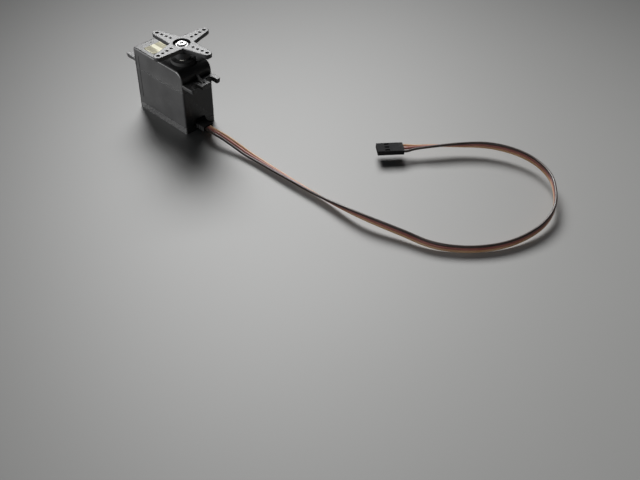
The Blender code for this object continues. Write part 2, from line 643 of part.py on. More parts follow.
def make_motor_case(steel, white, brass):
    """Can with its boss, the nylon end cap, the bush in each and the two screws into the deck."""
    can = prism("motor_can", can_outline(), CAN_BOTTOM, CAN_TOP, steel, place=MOTOR_AXIS)
    boss = drill("can_boss", MOTOR_AXIS, CAN_BOSS, CAN_TOP - 0.2, CAN_TOP + 1.6, 24)
    room = prism("can_room", can_outline(CAN_WALL), CAN_BOTTOM - 1, CAN_TOP - CAN_WALL,
                 place=MOTOR_AXIS, cutter=True)
    bush_hole = drill("can_bush_hole", MOTOR_AXIS, MOTOR_BUSH + 0.15, CAN_TOP - 2, CAN_TOP + 2, 16)
    screw_holes = [drill(f"can_screw_hole_{i}", spot, MOTOR_SCREW_SHANK + 0.15, CAN_TOP - 2, CAN_TOP + 1)
                   for i, spot in enumerate(motor_screw_spots(), 1)]
    cut(join(can, boss), room, bush_hole, *screw_holes)
    bore = MOTOR_SHAFT + SHAFT_PLAY
    bush("motor_front_bush", MOTOR_BUSH, bore, CAN_TOP - 1.2, CAN_TOP + 1.5, brass, MOTOR_AXIS, 16)
    bush("motor_rear_bush", MOTOR_REAR_BUSH, bore, CAP_BOTTOM + 0.1, CAP_FLOOR + 0.4, brass, MOTOR_AXIS, 16)
    for number, spot in enumerate(motor_screw_spots(), 1):
        screw_body(f"motor_screw_{number}", spot, (MOTOR_SCREW_HEAD, DECK_TOP + 0.1, DECK_TOP + 0.42),
                   (MOTOR_SCREW_SHANK, CAN_TOP - 1.0, DECK_TOP), steel, driver=0.8)
    cap = prism("motor_end_cap", can_outline(), CAP_BOTTOM, CAN_BOTTOM - 0.15, white, place=MOTOR_AXIS)
    lip = prism("cap_lip", can_outline(CAN_WALL + 0.15), CAN_BOTTOM - 0.3, CAN_BOTTOM + 0.9,
                place=MOTOR_AXIS, cutter=True)
    well = drill("cap_well", MOTOR_AXIS, CAP_WELL, CAP_FLOOR, CAN_BOTTOM + 2, 24)
    cap_bore = drill("cap_bore", MOTOR_AXIS, MOTOR_REAR_BUSH + 0.15, CAP_BOTTOM - 1, CAN_BOTTOM + 1, 14)
    terminal_slots = [block(f"terminal_slot_{i}", (MOTOR_AXIS.x - 0.9, y - 0.35, CAP_BOTTOM - 1),
                            (MOTOR_AXIS.x + 0.9, y + 0.35, CAN_BOTTOM + 2), cutter=True)
                      for i, y in enumerate((-TERMINAL_OFFSET, TERMINAL_OFFSET), 1)]
    cut(join(cap, lip), well, cap_bore, *terminal_slots)


def make_field_and_brushes(magnet, copper, brass):
    """Two arc magnets in the can, and a terminal and a brush on each side of the commutator."""
    for number, middle in enumerate((0, 180), 1):
        ring = (arc((0, 0), MAGNET_OUTER, middle - MAGNET_SPREAD, middle + MAGNET_SPREAD, 10)
                + arc((0, 0), MAGNET_INNER, middle + MAGNET_SPREAD, middle - MAGNET_SPREAD, 10))
        inside = [(x, max(-MAGNET_FLAT, min(MAGNET_FLAT, y))) for x, y in ring]
        prism(f"motor_magnet_{number}", inside, MAGNET_BOTTOM, MAGNET_TOP, magnet, place=MOTOR_AXIS)
    for number, side in enumerate((-1, 1), 1):
        y = MOTOR_AXIS.y + side * TERMINAL_OFFSET
        block(f"motor_terminal_{number}", (MOTOR_AXIS.x - 0.7, y - 0.2, BOARD_TOP + SOLDER_GAP),
              (MOTOR_AXIS.x + 0.7, y + 0.2, BRUSH_TOP - 0.2), brass)
        ends = sorted(MOTOR_AXIS.y + side * reach for reach in (COMMUTATOR + 0.25, TERMINAL_OFFSET - 0.4))
        block(f"motor_brush_{number}", (MOTOR_AXIS.x - 0.6, ends[0], BRUSH_BOTTOM),
              (MOTOR_AXIS.x + 0.6, ends[1], BRUSH_TOP), copper)


def make_rotor(steel, iron, copper):
    """Shaft, three-pole laminated core, a winding on each pole, and the commutator under them."""
    end = MOTOR_SHAFT - 0.1
    turned("motor_shaft", ((0, MOTOR_SHAFT_TOP), (end, MOTOR_SHAFT_TOP), (MOTOR_SHAFT, MOTOR_SHAFT_TOP - 0.1),
                           (MOTOR_SHAFT, MOTOR_SHAFT_BOTTOM + 0.1), (end, MOTOR_SHAFT_BOTTOM),
                           (0, MOTOR_SHAFT_BOTTOM)), steel, MOTOR_AXIS, 16)
    thirds = [math.radians(120 * third) for third in range(3)]
    bore = MOTOR_SHAFT + 0.06
    shoulder = POLE_REACH - 1.0
    arm = [(2.2, -POLE_NECK), (shoulder, -POLE_NECK),
           *arc((0, 0), POLE_REACH, -POLE_SPREAD, POLE_SPREAD, 6), (shoulder, POLE_NECK), (2.2, POLE_NECK)]
    outline = [tuple(Matrix.Rotation(turn, 2) @ Vector(p)) for turn in thirds for p in arm]
    core = prism("armature_core", outline, CORE_BOTTOM, CORE_TOP, iron, place=MOTOR_AXIS)
    cut(core, drill("core_bore", MOTOR_AXIS, bore, CORE_BOTTOM - 1, CORE_TOP + 1, 20))
    for number, turn in enumerate(thirds, 1):
        coil = prism(f"armature_winding_{number}", rounded_rectangle((2.9, -2.5), (5.6, 2.5), 0.5, 2),
                     CORE_BOTTOM - 0.9, CORE_TOP + 0.9, copper, place=MOTOR_AXIS, turn=turn)
        window = block(f"winding_window_{number}", (0, -POLE_NECK - 0.12, CORE_BOTTOM - 0.1),
                       (9, POLE_NECK + 0.12, CORE_TOP + 0.1), cutter=True)
        window.location = (MOTOR_AXIS.x * MM, MOTOR_AXIS.y * MM, 0)
        window.rotation_euler.z = turn
        cut(coil, window)
    bush("commutator", COMMUTATOR, bore, COMMUTATOR_BOTTOM, COMMUTATOR_TOP, copper, MOTOR_AXIS, 18)


# ------------------------------------------------------------------ feedback pot and board

def flatted_circle(radius, flat):
    return [(x, y) for x, y in circle((0, 0), radius, 20) if y < flat]


def make_pot(grey, steel, brass, amber):
    """Feedback pot: open-bottomed housing, ring track, shaft with its rotor, wiper and three terminals."""
    inner, roof, eye = POT_RADIUS - POT_WALL, POT_TOP - 1.2, POT_ROTOR + 0.25
    housing = turned("pot_housing", ((POT_RADIUS - 0.3, POT_TOP), (POT_RADIUS, POT_TOP - 0.3),
                                     (POT_RADIUS, POT_BOTTOM), (inner, POT_BOTTOM), (inner, roof),
                                     (eye, roof), (eye, POT_TOP)), grey, sides=24)
    cut(housing, block("pot_terminal_gap", (POT_RADIUS - 2, -3.4, POT_BOTTOM - 1),
                       (POT_RADIUS + 1, 3.4, POT_BOTTOM + 1.5), cutter=True))
    bush("pot_track", TRACK_OUTER, TRACK_INNER, POT_BOTTOM + 2.2, POT_BOTTOM + 2.9, amber, (0, 0), 24)
    shaft = prism("pot_shaft", flatted_circle(POT_SHAFT, POT_SHAFT_FLAT), 19.0, 25.2, steel)
    join(shaft, drill("pot_rotor", (0, 0), POT_ROTOR, 15.0, 19.3, 20))
    wiper = prism("pot_wiper", [(1.9, -0.5), (3.9, -0.5), (3.9, 0.5), (1.9, 0.5)],
                  WIPER_BOTTOM, WIPER_TOP, brass)
    ring = drill("wiper_ring", (0, 0), 2.6, WIPER_BOTTOM, WIPER_TOP, 20)
    cut(join(wiper, ring), drill("wiper_bore", (0, 0), POT_ROTOR + 0.1, WIPER_BOTTOM - 1, WIPER_TOP + 1, 20))
    for number, y in enumerate((-2.5, 0.0, 2.5), 1):
        block(f"pot_terminal_{number}", (4.45, y - 0.45, BOARD_TOP + SOLDER_GAP),
              (4.75, y + 0.45, POT_BOTTOM + 1.2), brass)


def chip(name, x_low, x_high, half, surface):
    """Package hung under the board."""
    top = BOARD_BOTTOM - SOLDER_GAP
    block(name, (x_low, -half, top - CHIP_HEIGHT), (x_high, half, top), surface, 0.15)


def make_board(green, chip_black, tan, sleeve):
    outline = rounded_rectangle((CASE_BACK + 3.4, -7.2), (CASE_FRONT - 2.8, 7.2), 0.6, 2)
    board = prism("circuit_board", outline, BOARD_BOTTOM, BOARD_TOP, green)
    cut(board, *[drill(f"board_notch_{i}", spot, PILLAR + 0.4, BOARD_BOTTOM - 1, BOARD_TOP + 1)
                 for i, spot in enumerate(screw_spots(), 1)])
    chip("control_chip", -8.5, -2.5, 3.0, chip_black)
    chip("bridge_chip", -20.5, -15.5, 2.5, chip_black)
    seat = BOARD_TOP + SOLDER_GAP
    block("ceramic_capacitor", (-6.5, -6.4, seat), (-3.2, -4.6, seat + 1.5), tan, 0.2)
    turned("electrolytic_capacitor", ((0, 11.0), (1.9, 11.0), (2.0, 10.8), (2.0, seat), (0, seat)),
           sleeve, (-4.4, 4.6), 20)


# ------------------------------------------------------------------ lead and plug

def wire_points(lane):
    """Centre line of one wire; lane is +1, 0 or -1, counted from the +Y side at the case."""
    stations = [Vector(p) for p in LEAD_ROUTE]
    points = []
    for index, station in enumerate(stations):
        before, after = stations[max(index - 1, 0)], stations[min(index + 1, len(stations) - 1)]
        along = Vector((after - before)[:3]).normalized()
        left = Vector((-along.y, along.x, 0)).normalized()
        up = along.cross(left)
        turn = math.radians(station[3])
        side = left * math.cos(turn) - up * math.sin(turn)
        points.append(Vector(station[:3]) + side * lane * WIRE_PITCH)
    run = (PLUG_REAR - PLUG_FRONT).normalized()
    across = Vector((run.y, -run.x))
    end = PLUG_REAR + run * 0.35 - across * lane * PLUG_PITCH
    return [*points, Vector((*(end + run * 1.5), PLUG_MIDDLE)), Vector((*end, PLUG_MIDDLE))]


def make_wire(name, lane, surface):
    curve = bpy.data.curves.new(name, "CURVE")
    curve.dimensions = "3D"
    curve.bevel_depth = WIRE_RADIUS * MM
    curve.bevel_resolution = 2
    curve.use_fill_caps = True
    points = wire_points(lane)
    spline = curve.splines.new("POLY")
    spline.points.add(len(points) - 1)
    for place, point in zip(spline.points, points):
        place.co = (*(point * MM), 1)
    curve.materials.append(surface)
    bpy.data.collections[PARTS].objects.link(bpy.data.objects.new(name, curve))


def make_grommet(rubber):
    """Rubber boot outside the output end, held by a tongue through the middle case."""
    boot = block("cable_grommet", (CASE_FRONT + 0.15, BOOT_LOW_Y, BOOT_BOTTOM),
                 (BOOT_FRONT, BOOT_HIGH_Y, BOOT_TOP), rubber, 0.3)
    tongue = block("grommet_tongue", (CASE_FRONT - WALL - 0.6, -TONGUE_HALF, TONGUE_BOTTOM),
                   (CASE_FRONT + 1.1, TONGUE_HALF, TONGUE_TOP), cutter=True)
    join(boot, tongue)


def make_plug(black, brass):
    """Flat three-way socket housing with its contacts, lying on the surface."""
    run = PLUG_FRONT - PLUG_REAR
    back, front = -run.length / 2, run.length / 2
    middle = (PLUG_FRONT + PLUG_REAR) / 2

    def place(item):
        item.location = (middle.x * MM, middle.y * MM, 0)
        item.rotation_euler.z = math.atan2(run.y, run.x)
        return item

    housing = place(block("plug_housing", (back, -PLUG_WIDTH / 2, PLUG_BOTTOM),
                          (front, PLUG_WIDTH / 2, PLUG_TOP), black, 0.2))
    tools = []
    for number, lane in enumerate((-1, 0, 1), 1):
        y = lane * PLUG_PITCH
        tools.append(place(block(f"contact_room_{number}",
                                 (back + 3, y - CONTACT_ROOM, PLUG_MIDDLE - CONTACT_ROOM),
                                 (front + 1, y + CONTACT_ROOM, PLUG_MIDDLE + CONTACT_ROOM), cutter=True)))
        tools.append(place(block(f"latch_window_{number}", (0.5, y - CONTACT_HALF, PLUG_MIDDLE),
                                 (3.0, y + CONTACT_HALF, PLUG_TOP + 1), cutter=True)))
        contact = place(block(f"plug_contact_{number}",
                              (back + 3.3, y - CONTACT_HALF, PLUG_MIDDLE - CONTACT_HALF),
                              (front - 0.5, y + CONTACT_HALF, PLUG_MIDDLE + CONTACT_HALF), brass))
        cut(contact, place(block(f"contact_bore_{number}", (0, y - CONTACT_BORE, PLUG_MIDDLE - CONTACT_BORE),
                                 (front + 1, y + CONTACT_BORE, PLUG_MIDDLE + CONTACT_BORE), cutter=True)))
    cut(housing, *tools)


# ------------------------------------------------------------------ assembly

def build():
    clear_scene()
    black = material("black_case_plastic", (0.018, 0.018, 0.020), 0.42)
    horn_black = material("horn_plastic", (0.014, 0.014, 0.016), 0.22)
    white = material("gear_nylon", (0.86, 0.85, 0.80), 0.45)
    steel = material("steel", (0.62, 0.62, 0.64), 0.25, 1.0)
    brass = material("brass", (0.72, 0.54, 0.24), 0.3, 1.0)
    bronze = material("sintered_bronze", (0.55, 0.38, 0.20), 0.5, 1.0)
    copper = material("copper", (0.72, 0.34, 0.18), 0.35, 1.0)
    iron = material("core_iron", (0.30, 0.30, 0.31), 0.5, 1.0)
    magnet = material("ferrite", (0.07, 0.07, 0.075), 0.7)
    gold = material("label_film", (0.80, 0.72, 0.42), 0.35)
    green = material("board_laminate", (0.03, 0.20, 0.08), 0.4)
    amber = material("resistive_track", (0.30, 0.16, 0.06), 0.5)
    tan = material("ceramic", (0.55, 0.36, 0.18), 0.5)
    rubber = material("grommet_rubber", (0.02, 0.02, 0.02), 0.7)

    make_bottom_cover(black)
    make_middle_case(black)
    make_top_cover(black)
    make_label(gold)
    make_case_screws(steel)
    make_gears(white, brass)
    make_output_gear(white)
    make_bushes(bronze)
    make_pins(steel)
    make_horn(horn_black, steel)
    make_motor_case(steel, white, brass)
    make_field_and_brushes(magnet, copper, brass)
    make_rotor(steel, iron, copper)
    make_pot(magnet, steel, brass, amber)
    make_board(green, magnet, tan, steel)
    make_grommet(rubber)
    make_wire("lead_orange", 1, material("orange_insulation", (0.85, 0.30, 0.05), 0.4))
    make_wire("lead_red", 0, material("red_insulation", (0.62, 0.03, 0.03), 0.4))
    make_wire("lead_brown", -1, material("brown_insulation", (0.16, 0.07, 0.04), 0.4))
    make_plug(rubber, brass)


build()
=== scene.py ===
"""Looks of the hobby servo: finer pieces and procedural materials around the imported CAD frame.

Sizes are written in millimetres, in the CAD's frame, and turned into metres by the helpers.
"""

import json
import math

import bmesh
import bpy
from mathutils import Matrix, Vector

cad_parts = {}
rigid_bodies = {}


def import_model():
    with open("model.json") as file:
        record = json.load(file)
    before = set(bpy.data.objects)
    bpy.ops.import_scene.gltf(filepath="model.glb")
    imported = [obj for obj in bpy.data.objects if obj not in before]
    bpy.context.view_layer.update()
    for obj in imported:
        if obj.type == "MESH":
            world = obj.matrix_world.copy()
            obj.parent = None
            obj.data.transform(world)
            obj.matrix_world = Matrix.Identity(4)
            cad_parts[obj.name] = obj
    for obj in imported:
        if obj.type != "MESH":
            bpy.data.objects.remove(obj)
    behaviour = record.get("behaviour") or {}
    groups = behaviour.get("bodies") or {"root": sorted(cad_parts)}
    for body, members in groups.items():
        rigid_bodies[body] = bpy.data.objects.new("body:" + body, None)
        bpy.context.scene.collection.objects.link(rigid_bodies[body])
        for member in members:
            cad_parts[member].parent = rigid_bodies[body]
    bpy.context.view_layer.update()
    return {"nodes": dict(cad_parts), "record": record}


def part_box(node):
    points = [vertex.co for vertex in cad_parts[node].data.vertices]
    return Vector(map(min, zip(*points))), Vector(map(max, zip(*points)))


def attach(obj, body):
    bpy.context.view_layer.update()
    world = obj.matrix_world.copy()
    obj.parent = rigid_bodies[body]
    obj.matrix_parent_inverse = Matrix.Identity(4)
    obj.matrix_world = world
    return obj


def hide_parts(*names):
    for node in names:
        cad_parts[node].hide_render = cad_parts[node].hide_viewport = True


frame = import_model()

MM = 0.001
CASE = "servo_case"
OUTPUT = "output"


def mm(*values):
    return Vector([v * MM for v in values])


def node_box(name):
    """Corners of a CAD node in millimetres."""
    low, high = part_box(name)
    return low / MM, high / MM


# ------------------------------------------------------------------ camera

CAMERA_PLACE = mm(315.19, -235.57, 260.46)
CAMERA_FORWARD = Vector((-0.50193, 0.55002, -0.66749)).normalized()
CAMERA_ROLL = 0.0295
CAMERA_LENS, CAMERA_SENSOR = 47.09, 36     # millimetres
CAMERA_CLIP = (0.01, 20)                   # metres


def make_camera():
    """Camera at the photograph's place, turned about its own axis by the roll."""
    side = CAMERA_FORWARD.cross(Vector((0, 0, 1))).normalized()
    up = side.cross(CAMERA_FORWARD)
    turn = Matrix.Rotation(-CAMERA_ROLL, 3, CAMERA_FORWARD)
    side, up = turn @ side, turn @ up
    data = bpy.data.cameras.new("camera")
    data.lens = CAMERA_LENS
    data.sensor_width = CAMERA_SENSOR
    data.clip_start, data.clip_end = CAMERA_CLIP
    camera = bpy.data.objects.new("camera", data)
    axes = Matrix((side, up, -CAMERA_FORWARD)).transposed()
    camera.matrix_world = Matrix.Translation(CAMERA_PLACE) @ axes.to_4x4()
    bpy.context.scene.collection.objects.link(camera)
    bpy.context.scene.camera = camera


make_camera()


# ------------------------------------------------------------------ materials

DUST_COLOUR = (0.30, 0.29, 0.27)
WEAR_POINTINESS = (0.53, 0.60)             # where rubbing starts on an edge, and where it is full
WEAR_PATCHES = (0.42, 0.62)
AXIS_FADE, HEIGHT_FADE = 0.0015, 0.0004    # metres over which the dull finish fades out


def new_material(name):
    made = bpy.data.materials.new(name)
    made.use_nodes = True
    nodes = made.node_tree.nodes
    return made, nodes, made.node_tree.links, nodes["Principled BSDF"]


def noise(nodes, links, scale, detail=3.0, stretch=(1, 1, 1), seed=(0, 0, 0)):
    """Noise in object space; scale is features per metre."""
    place = nodes.new("ShaderNodeTexCoord")
    mapping = nodes.new("ShaderNodeMapping")
    mapping.inputs["Scale"].default_value = stretch
    mapping.inputs["Location"].default_value = seed
    texture = nodes.new("ShaderNodeTexNoise")
    texture.inputs["Scale"].default_value = scale
    texture.inputs["Detail"].default_value = detail
    links.new(place.outputs["Object"], mapping.inputs["Vector"])
    links.new(mapping.outputs["Vector"], texture.inputs["Vector"])
    return texture.outputs["Fac"]


def ranged(nodes, links, value, low, high, to_low, to_high):
    """Stretch one range of a value onto another."""
    node = nodes.new("ShaderNodeMapRange")
    for key, number in (("From Min", low), ("From Max", high), ("To Min", to_low), ("To Max", to_high)):
        node.inputs[key].default_value = number
    links.new(value, node.inputs["Value"])
    return node.outputs["Result"]


def tint(nodes, links, factor, first, second):
    """Go from one flat colour to another by a factor."""
    node = nodes.new("ShaderNodeMix")
    node.data_type = "RGBA"
    node.inputs["A"].default_value = (*first, 1)
    node.inputs["B"].default_value = (*second, 1)
    links.new(factor, node.inputs["Factor"])
    return node.outputs["Result"]


def over(nodes, links, factor, below, colour):
    """Mix a flat colour over a colour output."""
    node = nodes.new("ShaderNodeMix")
    node.data_type = "RGBA"
    node.inputs["B"].default_value = (*colour, 1)
    links.new(below, node.inputs["A"])
    links.new(factor, node.inputs["Factor"])
    return node.outputs["Result"]


def bump(nodes, links, height, depth, strength, shader):
    node = nodes.new("ShaderNodeBump")
    node.inputs["Distance"].default_value = depth
    node.inputs["Strength"].default_value = strength
    links.new(height, node.inputs["Height"])
    links.new(node.outputs["Normal"], shader.inputs["Normal"])


def product(nodes, links, first, second):
    node = nodes.new("ShaderNodeMath")
    node.operation = "MULTIPLY"
    links.new(first, node.inputs[0])
    links.new(second, node.inputs[1])
    return node.outputs[0]


def worn_edges(nodes, links):
    """Mask of convex edges, broken up by noise."""
    geometry = nodes.new("ShaderNodeNewGeometry")
    edge = ranged(nodes, links, geometry.outputs["Pointiness"], *WEAR_POINTINESS, 0, 1)
    patches = ranged(nodes, links, noise(nodes, links, 900, 4), *WEAR_PATCHES, 0, 1)
    return product(nodes, links, edge, patches)


def plastic(name, dark, light, rough, grain=2600.0, depth=2e-5, strength=0.35, worn=None,
            specular=0.5, spread=0.07, dust=0.0, seed=0.0):
    """Moulded plastic: fine grain, patches of tone and gloss, rubbed edges and a little dust."""
    made, nodes, links, shader = new_material(name)
    patches = noise(nodes, links, 70, 5, seed=(seed, 0, 0))
    fine = noise(nodes, links, grain, 2, seed=(0, seed, 0))
    colour = tint(nodes, links, ranged(nodes, links, patches, 0.3, 0.7, 0, 1), dark, light)
    if dust:
        grit = noise(nodes, links, 5200, 1, seed=(0, 0, seed))
        colour = over(nodes, links, ranged(nodes, links, grit, 0.70, 0.78, 0, dust), colour, DUST_COLOUR)
    if worn:
        colour = over(nodes, links, worn_edges(nodes, links), colour, worn)
    links.new(colour, shader.inputs["Base Color"])
    links.new(ranged(nodes, links, patches, 0.3, 0.7, rough - spread, rough + spread),
              shader.inputs["Roughness"])
    shader.inputs["Specular IOR Level"].default_value = specular
    bump(nodes, links, fine, depth, strength, shader)
    return made


def matte_round_axis(material, radius, height, rough, specular):
    """Dull the finish within a radius of the output axis and above a height."""
    nodes, links = material.node_tree.nodes, material.node_tree.links
    shader = nodes["Principled BSDF"]
    place = nodes.new("ShaderNodeTexCoord")
    flat = nodes.new("ShaderNodeVectorMath")
    flat.operation = "MULTIPLY"
    flat.inputs[1].default_value = (1, 1, 0)
    reach = nodes.new("ShaderNodeVectorMath")
    reach.operation = "LENGTH"
    links.new(place.outputs["Object"], flat.inputs[0])
    links.new(flat.outputs["Vector"], reach.inputs[0])
    parts = nodes.new("ShaderNodeSeparateXYZ")
    links.new(place.outputs["Object"], parts.inputs[0])
    near = product(nodes, links,
                   ranged(nodes, links, reach.outputs["Value"], radius, radius + AXIS_FADE, 1, 0),
                   ranged(nodes, links, parts.outputs["Z"], height - HEIGHT_FADE, height, 0, 1))
    plain = shader.inputs["Roughness"].links[0].from_socket
    mix = nodes.new("ShaderNodeMix")
    mix.inputs["B"].default_value = rough
    links.new(near, mix.inputs["Factor"])
    links.new(plain, mix.inputs["A"])
    links.new(mix.outputs["Result"], shader.inputs["Roughness"])
    level = shader.inputs["Specular IOR Level"]
    links.new(ranged(nodes, links, near, 0, 1, level.default_value, specular), level)
    return material


def metal(name, dark, light, rough, scale=1500.0, depth=1e-5, strength=0.3, tarnish=None):
    """Metal with fine marks, patches of dullness and, if given, a tarnish colour."""
    made, nodes, links, shader = new_material(name)
    marks = noise(nodes, links, scale, 3)
    patches = noise(nodes, links, 260, 4)
    colour = tint(nodes, links, ranged(nodes, links, marks, 0.3, 0.7, 0, 1), dark, light)
    if tarnish:
        colour = over(nodes, links, ranged(nodes, links, patches, 0.45, 0.75, 0, 0.6), colour, tarnish)
    links.new(colour, shader.inputs["Base Color"])
    shader.inputs["Metallic"].default_value = 1.0
    links.new(ranged(nodes, links, patches, 0.3, 0.7, rough * 0.7, rough * 1.4),
              shader.inputs["Roughness"])
    bump(nodes, links, marks, depth, strength, shader)
    return made


def bands(nodes, links, direction, scale, distortion=0.0):
    """Parallel bands in object space."""
    place = nodes.new("ShaderNodeTexCoord")
    wave = nodes.new("ShaderNodeTexWave")
    wave.bands_direction = direction
    wave.inputs["Scale"].default_value = scale
    wave.inputs["Distortion"].default_value = distortion
    links.new(place.outputs["Object"], wave.inputs["Vector"])
    return wave.outputs["Fac"]


def laminated(name, dark, light, pitch):
    """Stack of thin sheets seen on edge, pressed together along Z."""
    made, nodes, links, shader = new_material(name)
    sheets = bands(nodes, links, "Z", math.pi / pitch / 10)
    links.new(tint(nodes, links, sheets, dark, light), shader.inputs["Base Color"])
    shader.inputs["Metallic"].default_value = 0.8
    gloss = noise(nodes, links, 500)
    links.new(ranged(nodes, links, gloss, 0.3, 0.7, 0.35, 0.6), shader.inputs["Roughness"])
    bump(nodes, links, sheets, 5e-5, 0.5, shader)
    return made


def wound(name, dark, light, turns_per_metre):
    """Enamelled wire laid side by side."""
    made, nodes, links, shader = new_material(name)
    turns = bands(nodes, links, "DIAGONAL", turns_per_metre / 10, 0.4)
    links.new(tint(nodes, links, turns, dark, light), shader.inputs["Base Color"])
    shader.inputs["Metallic"].default_value = 0.9
    shader.inputs["Coat Weight"].default_value = 0.5
    gloss = noise(nodes, links, 300)
    links.new(ranged(nodes, links, gloss, 0.3, 0.7, 0.2, 0.38), shader.inputs["Roughness"])
    bump(nodes, links, turns, 8e-5, 0.6, shader)
    return made


def foil_label(name):
    """Gold film worn unevenly: olive where it is dull, pale streaks across it and a satin surface."""
    made, nodes, links, shader = new_material(name)
    brushed = noise(nodes, links, 900, 3, stretch=(0.12, 3.0, 1))
    clouds = noise(nodes, links, 130, 4, seed=(3, 1, 0))
    streaks = noise(nodes, links, 300, 2, stretch=(0.15, 1.0, 1), seed=(0.6, 0.35, 0))
    olive, gold = (0.15, 0.135, 0.075), (0.30, 0.28, 0.165)
    dull, pale = (0.11, 0.095, 0.05), (0.74, 0.72, 0.56)
    colour = tint(nodes, links, ranged(nodes, links, clouds, 0.35, 0.68, 0, 1), olive, gold)
    colour = over(nodes, links, ranged(nodes, links, brushed, 0.45, 0.75, 0, 0.45), colour, dull)
    colour = over(nodes, links, ranged(nodes, links, streaks, 0.52, 0.62, 0, 0.85), colour, pale)
    links.new(colour, shader.inputs["Base Color"])
    shader.inputs["Metallic"].default_value = 0.2
    links.new(ranged(nodes, links, brushed, 0.3, 0.7, 0.48, 0.62), shader.inputs["Roughness"])
    bump(nodes, links, brushed, 1e-5, 0.35, shader)
    return made


def wire_skin(name, dark, light, rub):
    """Vinyl insulation: soft gloss, patches of tone, rubbed and slightly dusty."""
    made, nodes, links, shader = new_material(name)
    patches = noise(nodes, links, 95, 4)
    fine = noise(nodes, links, 1800, 3)
    colour = tint(nodes, links, ranged(nodes, links, patches, 0.35, 0.65, 0, 1), dark, light)
    colour = over(nodes, links, ranged(nodes, links, fine, 0.60, 0.75, 0, 0.30), colour, rub)
    links.new(colour, shader.inputs["Base Color"])
    links.new(ranged(nodes, links, patches, 0.3, 0.7, 0.30, 0.44), shader.inputs["Roughness"])
    shader.inputs["Sheen Weight"].default_value = 0.06
    shader.inputs["Specular IOR Level"].default_value = 0.7
    bump(nodes, links, fine, 3e-5, 0.35, shader)
    return made


CASE_BLACK = dict(dark=(0.020, 0.020, 0.0205), light=(0.030, 0.030, 0.0305), rough=0.39,
                  worn=(0.07, 0.07, 0.07), dust=0.20, spread=0.04)
DULL_ROUND_COLLAR = dict(radius=0.0115, height=0.0368, rough=0.75, specular=0.15)


def make_materials():
    """One material for each slot of the record, and two finishes that only the visual model has."""
    return {
        "black_case_plastic": plastic("case_plastic", **CASE_BLACK),
        "top_plastic": matte_round_axis(plastic("top_plastic_look", **CASE_BLACK), **DULL_ROUND_COLLAR),
        "horn_plastic": plastic("horn_gloss", (0.010, 0.010, 0.011), (0.016, 0.016, 0.017), 0.38,
                                grain=1500, depth=1e-5, strength=0.25, worn=(0.04, 0.04, 0.04),
                                spread=0.02, dust=0.15, seed=2.0),
        "gear_nylon": plastic("gear_nylon_look", (0.72, 0.70, 0.62), (0.84, 0.83, 0.77), 0.42,
                              depth=1e-5),
        "white_nylon": plastic("white_nylon_look", (0.66, 0.65, 0.60), (0.80, 0.79, 0.75), 0.45,
                               depth=1e-5),
        "steel": metal("steel_look", (0.50, 0.50, 0.51), (0.74, 0.74, 0.75), 0.24),
        "screw_head": metal("screw_head_look", (0.40, 0.40, 0.40), (0.58, 0.58, 0.57), 0.38,
                            scale=900, tarnish=(0.20, 0.20, 0.20)),
        "brass": metal("brass_look", (0.56, 0.40, 0.16), (0.78, 0.60, 0.28), 0.28,
                       tarnish=(0.30, 0.20, 0.09)),
        "sintered_bronze": metal("bronze_look", (0.22, 0.15, 0.09), (0.38, 0.27, 0.15), 0.52,
                                 depth=3e-5, strength=0.6, tarnish=(0.20, 0.13, 0.08)),
        "copper": wound("copper_look", (0.42, 0.15, 0.06), (0.78, 0.36, 0.18), 4200),
        "core_iron": laminated("core_look", (0.13, 0.13, 0.135), (0.36, 0.36, 0.37), 0.0005),
        "ferrite": plastic("ferrite_look", (0.045, 0.045, 0.048), (0.085, 0.085, 0.09), 0.68,
                           grain=1200, depth=5e-5, strength=0.5),
        "pot_plastic": plastic("pot_look", (0.02, 0.06, 0.10), (0.03, 0.09, 0.14), 0.40),
        "label_film": foil_label("label_look"),
        "board_laminate": plastic("board_look", (0.012, 0.10, 0.035), (0.03, 0.19, 0.07), 0.34,
                                  grain=900, depth=3e-5, strength=0.4),
        "chip_plastic": plastic("chip_look", (0.02, 0.02, 0.02), (0.045, 0.045, 0.045), 0.55,
                                grain=3000),
        "ceramic": plastic("ceramic_look", (0.46, 0.28, 0.12), (0.64, 0.44, 0.24), 0.5),
        "capacitor_sleeve": plastic("sleeve_look", (0.02, 0.02, 0.05), (0.04, 0.04, 0.10), 0.3,
                                    grain=600),
        "resistive_track": plastic("track_look", (0.10, 0.05, 0.02), (0.22, 0.12, 0.05), 0.55,
                                   grain=1800, depth=4e-5, strength=0.6),
        "rubber": plastic("rubber_look", (0.010, 0.010, 0.011), (0.018, 0.018, 0.018), 0.66,
                          grain=1700, depth=4e-5, strength=0.55, specular=0.03, dust=0.05, seed=5.0),
        "plug_plastic": plastic("plug_look", (0.012, 0.012, 0.013), (0.022, 0.022, 0.023), 0.75,
                                grain=2200, worn=(0.05, 0.05, 0.05), specular=0.15, dust=0.2, seed=7.0),
        "orange_insulation": wire_skin("orange_look", (0.68, 0.38, 0.19), (0.82, 0.53, 0.30),
                                       (0.84, 0.66, 0.48)),
        "red_insulation": wire_skin("red_look", (0.40, 0.12, 0.10), (0.52, 0.19, 0.16),
                                    (0.58, 0.34, 0.30)),
        "brown_insulation": wire_skin("brown_look", (0.045, 0.030, 0.026), (0.075, 0.050, 0.042),
                                      (0.13, 0.10, 0.085)),
    }


looks = make_materials()


# ------------------------------------------------------------------ shape helpers (millimetres)

WELD = 1e-6                    # metres
LOOSE_WELD = 2e-6
SMOOTH_ANGLE = 40              # degrees; sharper edges stay sharp


def arc(centre, radius, start, end, steps):
    angles = [math.radians(start + (end - start) * i / steps) for i in range(steps + 1)]
    return [(centre[0] + radius * math.cos(a), centre[1] + radius * math.sin(a)) for a in angles]


